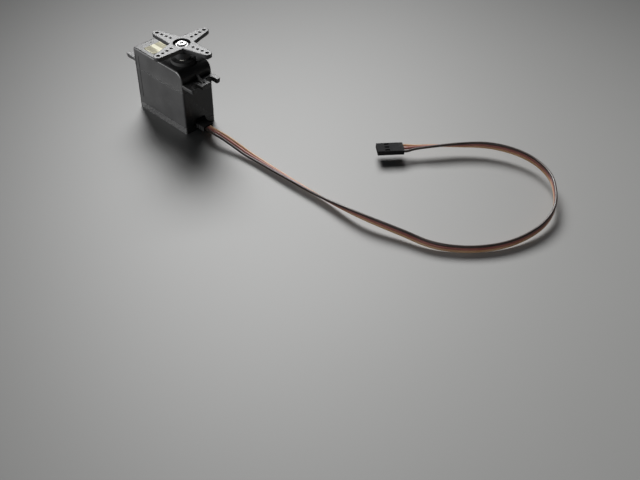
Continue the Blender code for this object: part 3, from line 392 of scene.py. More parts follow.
def rounded_rectangle(low, high, radius, steps=8):
    corners = ((high[0] - radius, high[1] - radius, 0), (low[0] + radius, high[1] - radius, 90),
               (low[0] + radius, low[1] + radius, 180), (high[0] - radius, low[1] + radius, 270))
    return [p for x, y, turn in corners for p in arc((x, y), radius, turn, turn + 90, steps)]


def evaluated_mesh(item):
    """Mesh of an object with its modifiers applied."""
    bpy.context.view_layer.update()
    return bpy.data.meshes.new_from_object(item.evaluated_get(bpy.context.evaluated_depsgraph_get()))


def outline_mesh(name, loops, bottom, top):
    """Flat outline with its holes, raised between two heights into a closed mesh."""
    curve = bpy.data.curves.new(name, "CURVE")
    curve.dimensions = "2D"
    curve.fill_mode = "BOTH"
    curve.extrude = (top - bottom) / 2 * MM
    for loop in loops:
        spline = curve.splines.new("POLY")
        spline.points.add(len(loop) - 1)
        for point, (x, y) in zip(spline.points, loop):
            point.co = (x * MM, y * MM, 0, 1)
        spline.use_cyclic_u = True
    flat = bpy.data.objects.new(name + "_outline", curve)
    bpy.context.scene.collection.objects.link(flat)
    mesh = evaluated_mesh(flat)
    bpy.data.objects.remove(flat, do_unlink=True)
    bpy.data.curves.remove(curve)
    work = bmesh.new()
    work.from_mesh(mesh)
    bmesh.ops.remove_doubles(work, verts=work.verts, dist=WELD)
    bmesh.ops.translate(work, verts=work.verts, vec=(0, 0, (top + bottom) / 2 * MM))
    if len(loops) == 1:
        bmesh.ops.dissolve_limit(work, angle_limit=math.radians(0.5), verts=work.verts,
                                 edges=work.edges)
    bmesh.ops.recalc_face_normals(work, faces=work.faces)
    work.to_mesh(mesh)
    work.free()
    mesh.name = name
    return mesh


def add(name, mesh):
    item = bpy.data.objects.new(name, mesh)
    bpy.context.scene.collection.objects.link(item)
    return item


def prism(name, outline, bottom, top, holes=(), place=(0, 0), turn=0.0):
    mesh = outline_mesh(name, [outline, *holes], bottom, top)
    mesh.transform(Matrix.Translation(mm(*place, 0)) @ Matrix.Rotation(turn, 4, "Z"))
    return add(name, mesh)


def side_prism(name, outline, low_y, high_y):
    """Prism along Y from (x, z) points."""
    mesh = outline_mesh(name, [outline], -high_y, -low_y)
    mesh.transform(Matrix.Rotation(math.radians(90), 4, "X"))
    return add(name, mesh)


def block(name, low, high):
    mesh = bpy.data.meshes.new(name)
    work = bmesh.new()
    bmesh.ops.create_cube(work, size=1)
    bmesh.ops.scale(work, verts=work.verts, vec=[(b - a) * MM for a, b in zip(low, high)])
    bmesh.ops.translate(work, verts=work.verts, vec=[(b + a) / 2 * MM for a, b in zip(low, high)])
    work.to_mesh(mesh)
    work.free()
    return add(name, mesh)


def turned(name, profile, place=(0, 0), sides=64, turn=0.0):
    """Turned solid; its profile of (radius, z) runs from axis to axis."""
    mesh = bpy.data.meshes.new(name)
    work = bmesh.new()
    rings = []
    for radius, z in profile:
        if radius == 0:
            rings.append([work.verts.new((0, 0, z * MM))])
        else:
            rings.append([work.verts.new((radius * MM * math.cos(2 * math.pi * i / sides + turn),
                                          radius * MM * math.sin(2 * math.pi * i / sides + turn), z * MM))
                          for i in range(sides)])
    for a, b in zip(rings, rings[1:]):
        for i in range(sides):
            j = (i + 1) % sides
            corners = [a[i % len(a)], a[j % len(a)], b[j % len(b)], b[i % len(b)]]
            work.faces.new(list(dict.fromkeys(corners)))
    bmesh.ops.recalc_face_normals(work, faces=work.faces)
    work.to_mesh(mesh)
    work.free()
    mesh.transform(Matrix.Translation(mm(*place, 0)))
    return add(name, mesh)


def drill(name, place, radius, bottom, top, sides=48):
    return turned(name, ((0, top), (radius, top), (radius, bottom), (0, bottom)), place, sides, turn=0.05)


def settle(item):
    """Apply every modifier."""
    mesh = evaluated_mesh(item)
    item.modifiers.clear()
    item.data = mesh
    return item


def combine(item, operation, *tools):
    """Join or cut with the tools, which are used up."""
    for tool in tools:
        step = item.modifiers.new(tool.name, "BOOLEAN")
        step.operation = operation
        step.solver = "EXACT"
        step.object = tool
        settle(item)
        bpy.data.objects.remove(tool, do_unlink=True)
    return item


def tidy(item):
    """Merge stray points and drop needless edges left by the booleans."""
    work = bmesh.new()
    work.from_mesh(item.data)
    bmesh.ops.remove_doubles(work, verts=work.verts, dist=LOOSE_WELD)
    bmesh.ops.dissolve_degenerate(work, dist=WELD, edges=work.edges)
    bmesh.ops.dissolve_limit(work, angle_limit=math.radians(0.6), verts=work.verts, edges=work.edges)
    work.to_mesh(item.data)
    work.free()
    return item


def round_edges(item, width, segments=3, angle=35, clamp=False):
    edge = item.modifiers.new("edges", "BEVEL")
    edge.width = width * MM
    edge.segments = segments
    edge.limit_method = "ANGLE"
    edge.angle_limit = math.radians(angle)
    edge.use_clamp_overlap = clamp
    edge.miter_outer = "MITER_ARC"
    return settle(item)


def finish_piece(item, body, slot, *replaced, look=None):
    """Shade, paint and hang a piece on its body; look names a finish other than the slot's own."""
    item.data.shade_smooth()
    item.data.set_sharp_from_angle(angle=math.radians(SMOOTH_ANGLE))
    weighted = item.modifiers.new("normals", "WEIGHTED_NORMAL")
    weighted.keep_sharp = True
    item.data.materials.clear()
    item.data.materials.append(looks[look or slot])
    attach(item, body)
    if replaced:
        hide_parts(*replaced)
    return item


# ------------------------------------------------------------------ lead

WIRE_RADIUS = 0.70             # as drawn, a little over the wire's own 1.3 mm diameter
WIRE_PITCH = 1.42
BOOT_FRONT = 17.3
IN_BOOT = 2.2                  # how far each wire reaches into the boot
LEAD_START = BOOT_FRONT + 0.7
LEAD_ROUTE = (
    (LEAD_START, -0.8, 3.8, 0), (21.0, -1.6, 4.5, -6), (25.0, -2.1, 5.1, -12), (30.0, -1.8, 5.0, -16),
    (35.5, -1.4, 4.3, -16), (42.0, -1.1, 3.4, -14), (48.0, -1.0, 2.7, -6), (57.0, -0.6, 2.3, 6),
    (78.0, -0.3, 2.2, 28), (100.0, 0.4, 2.3, 45), (124.6, 1.4, 4.6, 78), (145.2, 6.7, 3.6, 90),
    (159.5, 10.7, 2.7, 90), (170.3, 17.7, 2.3, 90), (178.7, 26.5, 2.3, 90),
    (185.0, 36.8, 2.6, 90), (188.7, 48.4, 3.2, 90), (189.7, 59.7, 4.0, 90), (187.4, 71.1, 4.9, 90),
    (181.3, 81.7, 5.5, 90), (172.3, 91.1, 5.8, 90), (159.5, 96.3, 5.8, 90), (146.3, 95.5, 5.9, 90),
    (134.2, 90.1, 5.8, 98), (124.1, 81.0, 5.5, 118), (115.1, 70.3, 5.6, 152), (108.9, 62.7, 5.4, 175),
)
PLUG_REAR = Vector((104.7, 57.5))
PLUG_FRONT = Vector((95.6, 46.85))
PLUG_WIDTH, PLUG_BOTTOM, PLUG_TOP = 7.6, 3.9, 6.55
PLUG_PITCH = 2.54
PLUG_MIDDLE_HEIGHT = (PLUG_BOTTOM + PLUG_TOP) / 2
FAN_BEHIND, FAN_FROM, FAN_TO = 0.35, 1.5, -1.2     # along the plug, where a wire turns into its place


def wire_points(lane):
    """Centre line of one wire as the CAD has it, from the grommet to the plug."""
    stations = [Vector(p) for p in LEAD_ROUTE]
    run = (PLUG_REAR - PLUG_FRONT).normalized()
    across = Vector((run.y, -run.x))
    points = []
    for index, station in enumerate(stations):
        before, after = stations[max(index - 1, 0)], stations[min(index + 1, len(stations) - 1)]
        along = Vector((after - before)[:3]).normalized()
        left = Vector((-along.y, along.x, 0)).normalized()
        up = along.cross(left)
        turn = math.radians(station[3])
        side = left * math.cos(turn) - up * math.sin(turn)
        points.append(Vector(station[:3]) + side * lane * WIRE_PITCH)
    end = PLUG_REAR + run * FAN_BEHIND - across * lane * PLUG_PITCH
    points.append(Vector((*(end + run * FAN_FROM), PLUG_MIDDLE_HEIGHT)))
    points.append(Vector((*(end + run * FAN_TO), PLUG_MIDDLE_HEIGHT)))
    return points


def smoothed(points, steps=5):
    """Catmull-Rom curve through the points, evenly stepped in each span."""
    ends = [points[0] * 2 - points[1], *points, points[-1] * 2 - points[-2]]
    made = []
    for a, b, c, d in zip(ends, ends[1:], ends[2:], ends[3:]):
        for step in range(steps):
            t = step / steps
            made.append(0.5 * (2 * b + (c - a) * t + (2 * a - 5 * b + 4 * c - d) * t ** 2
                               + (3 * b - a - 3 * c + d) * t ** 3))
    return [*made, points[-1]]


def make_wire(name, lane, slot, node):
    """One round wire; gives the piece, its first point and its length in metres."""
    points = wire_points(lane)
    points.insert(0, Vector((BOOT_FRONT - IN_BOOT, *points[0][1:])))
    points = smoothed(points)
    curve = bpy.data.curves.new(name, "CURVE")
    curve.dimensions = "3D"
    curve.bevel_depth = WIRE_RADIUS * MM
    curve.bevel_resolution = 4
    curve.use_fill_caps = True
    spline = curve.splines.new("POLY")
    spline.points.add(len(points) - 1)
    for spot, point in zip(spline.points, points):
        spot.co = (*(point * MM), 1)
    spline.use_smooth = True
    curve.materials.append(looks[slot])
    item = bpy.data.objects.new(name, curve)
    bpy.context.scene.collection.objects.link(item)
    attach(item, CASE)
    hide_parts(node)
    length = sum((b - a).length for a, b in zip(points, points[1:])) * MM
    return item, points[0] * MM, length


PLUG_SPILL = 1                 # how far a cutter runs out past the face it opens
PLUG_CORNER, PLUG_ROUNDING, PLUG_EDGE = 0.35, 0.22, 0.06
ROOM_START, ROOM_HALF = 3, 0.75                # contact rooms, from the rear end
ENTRY_DEPTH, ENTRY_HALF = 3.4, 0.85            # wire entries
WINDOW_FROM, WINDOW_TO, WINDOW_HALF = 0.5, 3.0, 0.6
RAIL_REAR, RAIL_FRONT, RAIL_DEPTH, RAIL_HALF = 1.6, 4.2, 0.22, 0.28
STEP_DEPTH, STEP_LENGTH = 0.14, 2.4


def make_plug():
    """Three-way socket housing: latch windows on top, a groove each side and rounded corners."""
    run = PLUG_FRONT - PLUG_REAR
    rear, front = -run.length / 2, run.length / 2
    half = PLUG_WIDTH / 2
    h = PLUG_MIDDLE_HEIGHT
    housing = prism("plug_shell", rounded_rectangle((rear, -half), (front, half), PLUG_CORNER, 5),
                    PLUG_BOTTOM, PLUG_TOP)
    round_edges(housing, PLUG_ROUNDING, 3, 50)
    tools = []
    for lane in (-1, 0, 1):
        y = lane * PLUG_PITCH
        tools += [
            block(f"room_{lane}", (rear + ROOM_START, y - ROOM_HALF, h - ROOM_HALF),
                  (front + PLUG_SPILL, y + ROOM_HALF, h + ROOM_HALF)),
            block(f"entry_{lane}", (rear - PLUG_SPILL, y - ENTRY_HALF, h - ENTRY_HALF),
                  (rear + ENTRY_DEPTH, y + ENTRY_HALF, h + ENTRY_HALF)),
            block(f"window_{lane}", (WINDOW_FROM, y - WINDOW_HALF, h),
                  (WINDOW_TO, y + WINDOW_HALF, PLUG_TOP + PLUG_SPILL)),
        ]
    for side in (-1, 1):
        tools.append(block(f"side_groove_{side}",
                           (rear + RAIL_REAR, side * half - RAIL_DEPTH, h - RAIL_HALF),
                           (front - RAIL_FRONT, side * half + RAIL_DEPTH, h + RAIL_HALF)))
    tools.append(block("top_step", (rear - PLUG_SPILL, -half - PLUG_SPILL, PLUG_TOP - STEP_DEPTH),
                       (rear + STEP_LENGTH, half + PLUG_SPILL, PLUG_TOP + PLUG_SPILL)))
    combine(housing, "DIFFERENCE", *tools)
    tidy(housing)
    round_edges(housing, PLUG_EDGE, 2, 60, clamp=True)
    middle = (PLUG_FRONT + PLUG_REAR) / 2
    housing.data.transform(Matrix.Translation(mm(*middle, 0))
                           @ Matrix.Rotation(math.atan2(run.y, run.x), 4, "Z"))
    return finish_piece(housing, CASE, "plug_plastic", "plug_housing")


plug = make_plug()
for wire_name, lane, slot, node, contact in (
        ("wire_orange", 1, "orange_insulation", "lead_orange", "plug_contact_3"),
        ("wire_red", 0, "red_insulation", "lead_red", "plug_contact_2"),
        ("wire_brown", -1, "brown_insulation", "lead_brown", "plug_contact_1")):
    wire, start, wire_length = make_wire(wire_name, lane, slot, node)


# ------------------------------------------------------------------ case

CASE_BACK, CASE_FRONT, CASE_HALF = -30.1, 10.1, 10.0
BASE_TOP, SEAM, CASE_TOP = 3.9, 25.1, 37.0
WALL = 1.5
NOOK = 3.3                     # side of the pillar that stands in each corner
CORNER = 1.1
SHOULDER, REAR_EDGE = 5.0, 1.2         # radii of the top's front and rear edges
TOWER_RADIUS, TOWER_TOP, TOWER_LIP = 6.6, 38.7, 0.7
EAR_REACH, EAR_HALF, EAR_BOTTOM, EAR_TOP = 7.6, 9.8, 27.8, 30.3
SLOT_Y, SLOT_RADIUS, SLOT_INSET = 5.0, 2.2, 2.95
EAR_CORNER = 0.9
RIB_REACH, RIB_HALF, RIB_END, RIB_ROOT = 5.6, 0.6, 0.3, 2.8     # the last two are heights over the ear
SEAM_GAP, BASE_GAP = 0.2, 0.12
EAR_DRAFT = 0.95               # the ears' underside, as a share of their width
GROOVE_X, GROOVE_HALF, GROOVE_LOW, GROOVE_HIGH = (-28.7, -26.0), 0.2, 8, 33.0
PIP_SPOTS, PIP_RADIUS, PIP_DEPTH = ((-24.0, -9.0), (-27.1, -0.3)), 0.35, 0.3
SCREW_SPOTS = [(x, y) for x in (-27.9, 7.9) for y in (-7.8, 7.8)]
SCREW_HEAD_HOLE, SCREW_HEAD_DEPTH, SCREW_HOLE = 1.8, 1.75, 1.1
MOTOR_ROOM_TOP, GEAR_FLOOR, GEAR_ROOM_TOP = 22.7, 24.5, 35.2
LOWER_BUSH_HOLE, UPPER_BUSH_HOLE, SHAFT_WAY = 4.2, 4.3, 3.3
MOTOR_SPOT, MOTOR_HOLE = (-17.7716, 0), 3.3
NOTCH_HALF, NOTCH_TOP = 3.2, 6.5


def case_shell(name, bottom, top):
    return prism(name, rounded_rectangle((CASE_BACK, -CASE_HALF), (CASE_FRONT, CASE_HALF), CORNER),
                 bottom, top)


def inner_outline():
    """Inside of a shell: a rectangle that leaves the four corner pillars standing."""
    x0, x1, y0, y1 = CASE_BACK + WALL, CASE_FRONT - WALL, -CASE_HALF + WALL, CASE_HALF - WALL
    return [(x0, y0 + NOOK), (x0 + NOOK, y0 + NOOK), (x0 + NOOK, y0),
            (x1 - NOOK, y0), (x1 - NOOK, y0 + NOOK), (x1, y0 + NOOK),
            (x1, y1 - NOOK), (x1 - NOOK, y1 - NOOK), (x1 - NOOK, y1),
            (x0 + NOOK, y1), (x0 + NOOK, y1 - NOOK), (x0, y1 - NOOK)]


def make_base():
    """Bottom cover with its four screw holes."""
    base = case_shell("case_base", 0, BASE_TOP)
    tools = [prism("cavity", inner_outline(), WALL, BASE_TOP + 1)]
    for number, spot in enumerate(SCREW_SPOTS):
        tools.append(drill(f"hole_{number}", spot, SCREW_HEAD_HOLE, -1, SCREW_HEAD_DEPTH))
        tools.append(drill(f"shank_{number}", spot, SCREW_HOLE, 1, BASE_TOP + 1))
    combine(base, "DIFFERENCE", *tools)
    tidy(base)
    round_edges(base, 0.32, 3, 60, clamp=True)
    return finish_piece(base, CASE, "black_case_plastic", "bottom_cover")


def side_grooves(low, high):
    """Cutters of the two shallow grooves near the rear end of the long side."""
    return [block(f"side_groove_{x}", (x - GROOVE_HALF, -CASE_HALF - 1, low),
                  (x + GROOVE_HALF, -CASE_HALF + GROOVE_HALF, high)) for x in GROOVE_X]


def make_middle():
    """Middle case: motor room below, gear floor above, and the notch that the boot sits in."""
    low = BASE_TOP + BASE_GAP
    middle = case_shell("case_middle", low, SEAM)
    tools = [
        prism("motor_room", inner_outline(), low - 1, MOTOR_ROOM_TOP),
        prism("gear_floor", inner_outline(), GEAR_FLOOR, SEAM + 1),
        drill("bush_hole", (0, 0), LOWER_BUSH_HOLE, 21, 26),
        drill("motor_hole", MOTOR_SPOT, MOTOR_HOLE, 21, 26),
        block("lead_notch", (CASE_FRONT - WALL - 1, -NOTCH_HALF, low - 1),
              (CASE_FRONT + 1, NOTCH_HALF, NOTCH_TOP)),
    ]
    combine(middle, "DIFFERENCE", *tools)
    tidy(middle)
    round_edges(middle, 0.12, 3, 60, clamp=True)
    combine(middle, "DIFFERENCE", *side_grooves(GROOVE_LOW, SEAM + 1))
    return finish_piece(middle, CASE, "black_case_plastic", "middle_case")


def ear_outline(end, outward):
    """Ear with two open slots; end is the wall it stands on and outward is its way along X."""
    outer = end + outward * EAR_REACH
    round_x = outer - outward * SLOT_INSET
    root = end - outward
    turns = [math.radians(a) for a in range(0, 91, 15)]
    steps = 16
    points = [(root, -EAR_HALF)]
    points += [(outer - outward * EAR_CORNER + outward * EAR_CORNER * math.sin(a),
                -EAR_HALF + EAR_CORNER - EAR_CORNER * math.cos(a)) for a in turns]
    for y in (-SLOT_Y, SLOT_Y):
        points.append((outer, y - SLOT_RADIUS))
        points += [(round_x - outward * SLOT_RADIUS * math.sin(math.pi * i / steps),
                    y - SLOT_RADIUS * math.cos(math.pi * i / steps)) for i in range(steps + 1)]
        points.append((outer, y + SLOT_RADIUS))
    points += [(outer - outward * EAR_CORNER + outward * EAR_CORNER * math.cos(a),
                EAR_HALF - EAR_CORNER + EAR_CORNER * math.sin(a)) for a in turns]
    points.append((root, EAR_HALF))
    return points


def make_ear(label, end, outward):
    """One ear, narrower at its underside, and the rib that braces it against the wall."""
    ear = prism(f"{label}_ear", ear_outline(end, outward), EAR_BOTTOM, EAR_TOP)
    for point in ear.data.vertices:
        if point.co.z < (EAR_BOTTOM + 0.1) * MM:
            point.co.y *= EAR_DRAFT
    round_edges(ear, 0.25, 3, 60)
    tip = end + outward * RIB_REACH
    rib = side_prism(f"{label}_rib", [(end - outward, EAR_TOP - 1), (tip, EAR_TOP - 1),
                                      (tip, EAR_TOP + RIB_END), (end, EAR_TOP + RIB_ROOT),
                                      (end - outward, EAR_TOP + RIB_ROOT)], -RIB_HALF, RIB_HALF)
    round_edges(rib, 0.18, 2, 60)
    return [ear, rib]


def make_top():
    """Top cover: gear room, collar round the shaft, both ears, two pips and the ends of the grooves."""
    low = SEAM + SEAM_GAP
    profile = [(CASE_BACK, low - 4), (CASE_FRONT, low - 4),
               *arc((CASE_FRONT - SHOULDER, CASE_TOP - SHOULDER), SHOULDER, 0, 90, 20),
               *arc((CASE_BACK + REAR_EDGE, CASE_TOP - REAR_EDGE), REAR_EDGE, 90, 180, 8)]
    top = side_prism("case_top", profile, -CASE_HALF, CASE_HALF)
    round_edges(top, 0.85, 5, 50)
    combine(top, "DIFFERENCE", block("below_seam", (-60, -20, 0), (60, 20, low)))
    rim = ((0.55, 0), (0.25, 0.08), (0.06, 0.3), (0, 0.55))      # in and down from the collar's corner
    tower = turned("tower", ((0, TOWER_TOP), *[(TOWER_RADIUS - x, TOWER_TOP - z) for x, z in rim],
                             (TOWER_RADIUS, CASE_TOP - 1), (0, CASE_TOP - 1)), sides=96)
    combine(top, "UNION", tower, *make_ear("front", CASE_FRONT, 1), *make_ear("rear", CASE_BACK, -1))
    combine(top, "DIFFERENCE",
            prism("gear_room", inner_outline(), SEAM - 1, GEAR_ROOM_TOP),
            drill("bush_hole", (0, 0), UPPER_BUSH_HOLE, 34, TOWER_TOP - TOWER_LIP, 72),
            drill("shaft_way", (0, 0), SHAFT_WAY, 34, TOWER_TOP + 1, 72),
            *[drill(f"pip_{number}", spot, PIP_RADIUS, CASE_TOP - PIP_DEPTH, CASE_TOP + 1, 20)
              for number, spot in enumerate(PIP_SPOTS)],
            *side_grooves(low - 1, GROOVE_HIGH))
    tidy(top)
    return finish_piece(top, CASE, "black_case_plastic", "top_cover", look="top_plastic")


LABEL_CORNER, LABEL_EDGE = 0.7, 0.04


def make_label():
    low, high = node_box("top_label")
    outline = rounded_rectangle((low.x, low.y), (high.x, high.y), LABEL_CORNER, 6)
    label = prism("label_foil", outline, low.z, high.z)
    round_edges(label, LABEL_EDGE, 2, 60)
    return finish_piece(label, CASE, "label_film", "top_label")


BOOT_LOW_Y, BOOT_HIGH_Y, BOOT_BOTTOM, BOOT_TOP = -4.0, 2.9, 2.4, 5.0
TONGUE_HALF, TONGUE_BOTTOM, TONGUE_TOP = 2.9, 4.15, 6.2
BOOT_GAP, BOOT_CORNER = 0.12, 0.5
RELIEF_START, RELIEF_PITCH, RELIEF_WIDTH, RELIEF_DEPTH = 12.6, 1.5, 0.6, 0.45
ENTRY_MIDDLE_Y, ENTRY_HEIGHT = -0.8, 3.75
ENTRY_CLEAR, ENTRY_FLARE = 0.06, 0.3           # added to the wire's radius, within and at the mouth


def make_grommet():
    """Rubber boot outside the wall, ribbed across for bending, with a tongue through the case."""
    sides = rounded_rectangle((CASE_FRONT + BOOT_GAP, BOOT_LOW_Y), (BOOT_FRONT, BOOT_HIGH_Y),
                              BOOT_CORNER, 6)
    boot = prism("grommet", sides, BOOT_BOTTOM, BOOT_TOP)
    round_edges(boot, 0.4, 5, 60)
    tongue = block("tongue", (CASE_FRONT - WALL - 0.6, -TONGUE_HALF, TONGUE_BOTTOM),
                   (CASE_FRONT + 1.1, TONGUE_HALF, TONGUE_TOP))
    round_edges(tongue, 0.25, 3, 60)
    combine(boot, "UNION", tongue)
    cutters = []
    for number in range(3):
        x = RELIEF_START + RELIEF_PITCH * number
        for side, face in ((-1, BOOT_LOW_Y), (1, BOOT_HIGH_Y)):
            cutters.append(block(f"groove_{number}_{side}", (x, face - RELIEF_DEPTH, BOOT_BOTTOM - 1),
                                 (x + RELIEF_WIDTH, face + RELIEF_DEPTH, BOOT_TOP + 1)))
    inside, mouth = WIRE_RADIUS + ENTRY_CLEAR, WIRE_RADIUS + ENTRY_FLARE
    for lane in (-1, 0, 1):
        entry = turned(f"entry_{lane}", ((0, 3.0), (inside, 3.0), (inside, 0.1), (mouth, -0.2),
                                         (mouth, -1), (0, -1)), sides=32)
        entry.data.transform(
            Matrix.Translation(mm(BOOT_FRONT, ENTRY_MIDDLE_Y + lane * WIRE_PITCH, ENTRY_HEIGHT))
            @ Matrix.Rotation(math.radians(-90), 4, "Y"))
        cutters.append(entry)
    combine(boot, "DIFFERENCE", *cutters)
    tidy(boot)
    return finish_piece(boot, CASE, "rubber", "cable_grommet")


make_base()
make_middle()
make_top()
make_label()
make_grommet()


# ------------------------------------------------------------------ screws

CASE_SCREW_PROFILE = ((0, 31.0), (0.4, 31.0), (0.9, 30.0), (0.9, 1.5), (1.6, 1.5), (1.6, 0.75),
                      (1.5, 0.5), (1.25, 0.33), (0.9, 0.25), (0, 0.25))     # radius and height
CASE_SCREW_CROSS, CASE_SCREW_CROSS_TOP = (1.0, 0.18, 0.26), 0.9
CROSS_TURN = 0.1


def four_turns(points):
    """The same points four times round, a quarter turn apart."""
    made = []
    for quarter in range(4):
        turn = Matrix.Rotation(math.radians(90 * quarter), 2)
        made += [tuple(turn @ Vector(p)) for p in points]
    return made


def cross_outline(reach, tip, root):
    """Cross recess: how far it reaches, its half width at the tip and the corner between two arms."""
    return four_turns(((reach, -tip), (reach, tip), (root, root)))


def make_case_screw(number, spot):
    name = f"case_screw_{number}"
    screw = turned("screw_" + name, CASE_SCREW_PROFILE, spot, 40)
    combine(screw, "DIFFERENCE", prism("cross", cross_outline(*CASE_SCREW_CROSS), -1,
                                       CASE_SCREW_CROSS_TOP, place=spot, turn=CROSS_TURN))
    return finish_piece(screw, CASE, "steel", name)


for number, spot in enumerate(SCREW_SPOTS, 1):
    make_case_screw(number, spot)


# ------------------------------------------------------------------ horn

HORN_TURN = math.radians(8)
HORN_BOTTOM, HORN_TOP, HORN_PLATE = 39.4, 47.4, 2.2
HORN_HUB = 4.3
HORN_ARM = 19.7
HORN_ROOT_HALF, HORN_TIP_HALF = 4.2, 2.4
HORN_HOLES = (7.8, 10.9, 14.0, 17.2)
HORN_HOLE, HORN_END_HOLE = 0.75, 0.95
HORN_RECESS, HORN_RECESS_FLOOR = 4.5, 45.8
HORN_EDGE, HORN_ROOT_REACH, HORN_TIP_ANGLE = 0.3, 0.6, 84
COLLAR_WIDER = 0.9
SOCKET_RADIUS, SOCKET_TOP = 3.03, 43.6
SCREW_WAY, SCREW_WAY_BOTTOM = 1.4, 42
HOLE_LIP = 0.16


def horn_outline():
    tip_centre = HORN_ARM - HORN_TIP_HALF
    return four_turns(((HORN_ROOT_HALF + HORN_ROOT_REACH, -HORN_ROOT_HALF),
                       *arc((tip_centre, 0), HORN_TIP_HALF, -HORN_TIP_ANGLE, HORN_TIP_ANGLE, 28)))


def link_hole(name, reach, along):
    """Cutter of one hole in an arm, with a small lip at each face."""
    radius = HORN_END_HOLE if reach == HORN_HOLES[-1] else HORN_HOLE
    lip, low = radius + HOLE_LIP, HORN_TOP - HORN_PLATE
    profile = ((0, HORN_TOP + 1), (lip + 0.1, HORN_TOP + 1), (lip, HORN_TOP),
               (radius + 0.04, HORN_TOP - 0.08), (radius, HORN_TOP - 0.2), (radius, low + 0.15),
               (lip, low - 0.01), (lip, low - 1), (0, low - 1))
    return turned(name, profile, (reach * math.cos(along), reach * math.sin(along)), 28, turn=0.03)


def make_horn():
    """Plate with rounded edges, hub and collar under it, recess, socket and the rows of link holes."""
    horn = prism("cross_horn", horn_outline(), HORN_TOP - HORN_PLATE, HORN_TOP, turn=HORN_TURN)
    round_edges(horn, HORN_EDGE, 5, 50)
    hub = turned("hub", ((0, HORN_TOP - 1), (HORN_HUB, HORN_TOP - 1), (HORN_HUB, HORN_BOTTOM + 0.4),
                         (HORN_HUB - 0.12, HORN_BOTTOM + 0.12), (HORN_HUB - 0.4, HORN_BOTTOM),
                         (0, HORN_BOTTOM)), sides=72)
    wider = HORN_HUB + COLLAR_WIDER
    collar = turned("collar", ((0, HORN_TOP - 0.8), (wider, HORN_TOP - 0.8), (wider, HORN_TOP - 3.0),
                               (wider - 0.2, HORN_TOP - 3.5), (HORN_HUB, HORN_TOP - 4.2),
                               (0, HORN_TOP - 4.2)), sides=60)
    combine(horn, "UNION", hub, collar)
    recess = turned("recess", ((0, HORN_TOP + 1), (HORN_RECESS + 0.45, HORN_TOP + 1),
                               (HORN_RECESS + 0.3, HORN_TOP), (HORN_RECESS + 0.06, HORN_TOP - 0.1),
                               (HORN_RECESS, HORN_TOP - 0.3), (HORN_RECESS, HORN_RECESS_FLOOR),
                               (0, HORN_RECESS_FLOOR)), sides=64, turn=0.02)
    combine(horn, "DIFFERENCE", recess,
            drill("socket", (0, 0), SOCKET_RADIUS, HORN_BOTTOM - 1, SOCKET_TOP, 56),
            drill("screw_way", (0, 0), SCREW_WAY, SCREW_WAY_BOTTOM, HORN_TOP, 40),
            *[link_hole(f"hole_{quarter}_{reach}", reach, HORN_TURN + math.pi / 2 * quarter)
              for quarter in range(4) for reach in HORN_HOLES])
    tidy(horn)
    return finish_piece(horn, OUTPUT, "horn_plastic", "servo_horn")


HORN_SCREW_GAP = 0.1           # under the washer, and from the head to the horn's top face
HORN_SCREW_CROSS, HORN_SCREW_CROSS_DEPTH = (1.75, 0.34, 0.50), 0.75


def make_horn_screw():
    """Screw with its washer made in one, and a cross recess in its head."""
    low, high = HORN_RECESS_FLOOR + HORN_SCREW_GAP, HORN_TOP - HORN_SCREW_GAP
    profile = ((0, high), (2.0, high), (2.35, high - 0.1), (2.55, high - 0.32), (2.62, high - 0.75),
               (3.3, high - 0.80), (3.45, high - 0.92), (3.45, low + 0.1), (3.35, low),
               (0.95, low), (0.95, 39.4), (0.5, 38.9), (0, 38.9))
    screw = turned("washer_screw", profile, sides=72)
    combine(screw, "DIFFERENCE",
            prism("cross", cross_outline(*HORN_SCREW_CROSS), high - HORN_SCREW_CROSS_DEPTH, high + 1,
                  turn=CROSS_TURN + HORN_TURN))
    tidy(screw)
    return finish_piece(screw, OUTPUT, "steel", "horn_screw", look="screw_head")


make_horn()
make_horn_screw()


# ------------------------------------------------------------------ CAD nodes that stay

slot_of = {row["node"]: row["material_slot"] for row in frame["record"]["subparts"]}
for name, item in frame["nodes"].items():
    look = looks[slot_of[name]]
    if not item.material_slots:
        item.data.materials.append(look)
    for place in item.material_slots:
        place.material = look


# ------------------------------------------------------------------ floor and light

FLOOR_HALF = 3                 # metres
FLOOR_TONES = ((0.415, 0.415, 0.405), (0.435, 0.435, 0.426))
SERVO_MIDDLE = mm(0, 0, 15)
SOFTBOX_TOWARDS, SOFTBOX_AWAY = Vector((-0.50, 0.49, 0.72)).normalized(), 0.774
SOFTBOX_SIZE, SOFTBOX_SPREAD = (0.49, 0.41), 58
SOFTBOX_POWER, SOFTBOX_THROUGH = 1.20, 0.11     # watts, and the share that the thin lead doesn't block
WORLD_COLOUR, WORLD_STRENGTH = (0.9, 0.95, 1.0, 1), 0.022


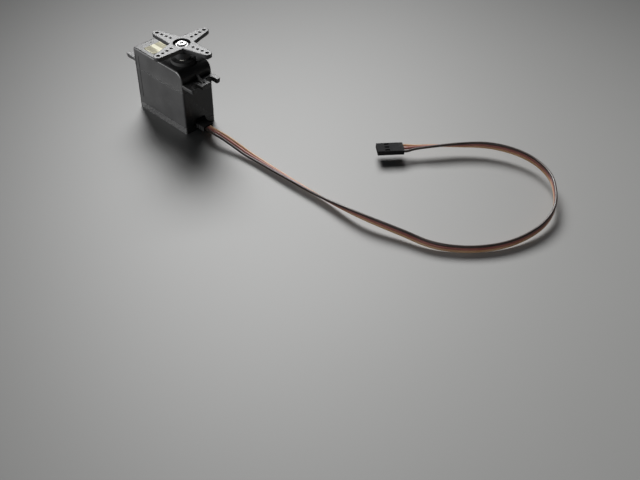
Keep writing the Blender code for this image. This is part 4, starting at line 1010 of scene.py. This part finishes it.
def make_floor():
    mesh = bpy.data.meshes.new("floor")
    work = bmesh.new()
    bmesh.ops.create_grid(work, x_segments=1, y_segments=1, size=FLOOR_HALF)
    work.to_mesh(mesh)
    work.free()
    floor = add("floor", mesh)
    made, nodes, links, shader = new_material("floor_paint")
    clouds = noise(nodes, links, 9, 2)
    links.new(tint(nodes, links, clouds, *FLOOR_TONES), shader.inputs["Base Color"])
    shader.inputs["Roughness"].default_value = 0.56
    shader.inputs["Specular IOR Level"].default_value = 1.0
    mesh.materials.append(made)


def area_light(name, place, aim, size, power, spread):
    data = bpy.data.lights.new(name, "AREA")
    data.shape = "RECTANGLE"
    data.size, data.size_y = size
    data.energy = power
    data.spread = math.radians(spread)
    item = bpy.data.objects.new(name, data)
    item.location = place
    item.rotation_euler = (aim - place).to_track_quat("-Z", "Y").to_euler()
    bpy.context.scene.collection.objects.link(item)
    return item


def group(name, belongs):
    """Collection of the scene's objects that pass a test, for a light to work on."""
    made = bpy.data.collections.new(name)
    for item in bpy.context.scene.objects:
        if belongs(item):
            made.objects.link(item)
    return made


def make_lights():
    """Softbox over the servo, in two shares, and weak fills for the solid pieces and for the lead."""
    place = SERVO_MIDDLE + SOFTBOX_TOWARDS * SOFTBOX_AWAY
    softboxes = [area_light(name, place, mm(385, -85, 0), SOFTBOX_SIZE, SOFTBOX_POWER * share,
                            SOFTBOX_SPREAD)
                 for name, share in (("softbox", 1 - SOFTBOX_THROUGH),
                                     ("softbox_through", SOFTBOX_THROUGH))]
    fill = area_light("fill", SERVO_MIDDLE + mm(-190, -380, 65), SERVO_MIDDLE, (0.34, 0.14), 0.60, 70)
    lead_fill = area_light("lead_fill", mm(260, -330, 200), mm(60, 0, 0), (0.30, 0.20), 0.045, 59)
    softboxes[1].light_linking.blocker_collection = group(
        "solid_pieces", lambda item: item.type == "MESH" and not item.name.startswith("lead_"))
    fill.light_linking.receiver_collection = group(
        "lit_by_fill", lambda item: item.type == "MESH" and item.name not in ("floor", "plug_shell"))
    lead_fill.light_linking.receiver_collection = group(
        "lit_by_lead_fill", lambda item: item.type == "CURVE" or item.name == "plug_shell")


def make_world():
    world = bpy.data.worlds.new("studio")
    world.use_nodes = True
    background = world.node_tree.nodes["Background"]
    background.inputs["Color"].default_value = WORLD_COLOUR
    background.inputs["Strength"].default_value = WORLD_STRENGTH
    bpy.context.scene.world = world


make_floor()
make_lights()
make_world()
bpy.context.scene.view_settings.view_transform = "Standard"
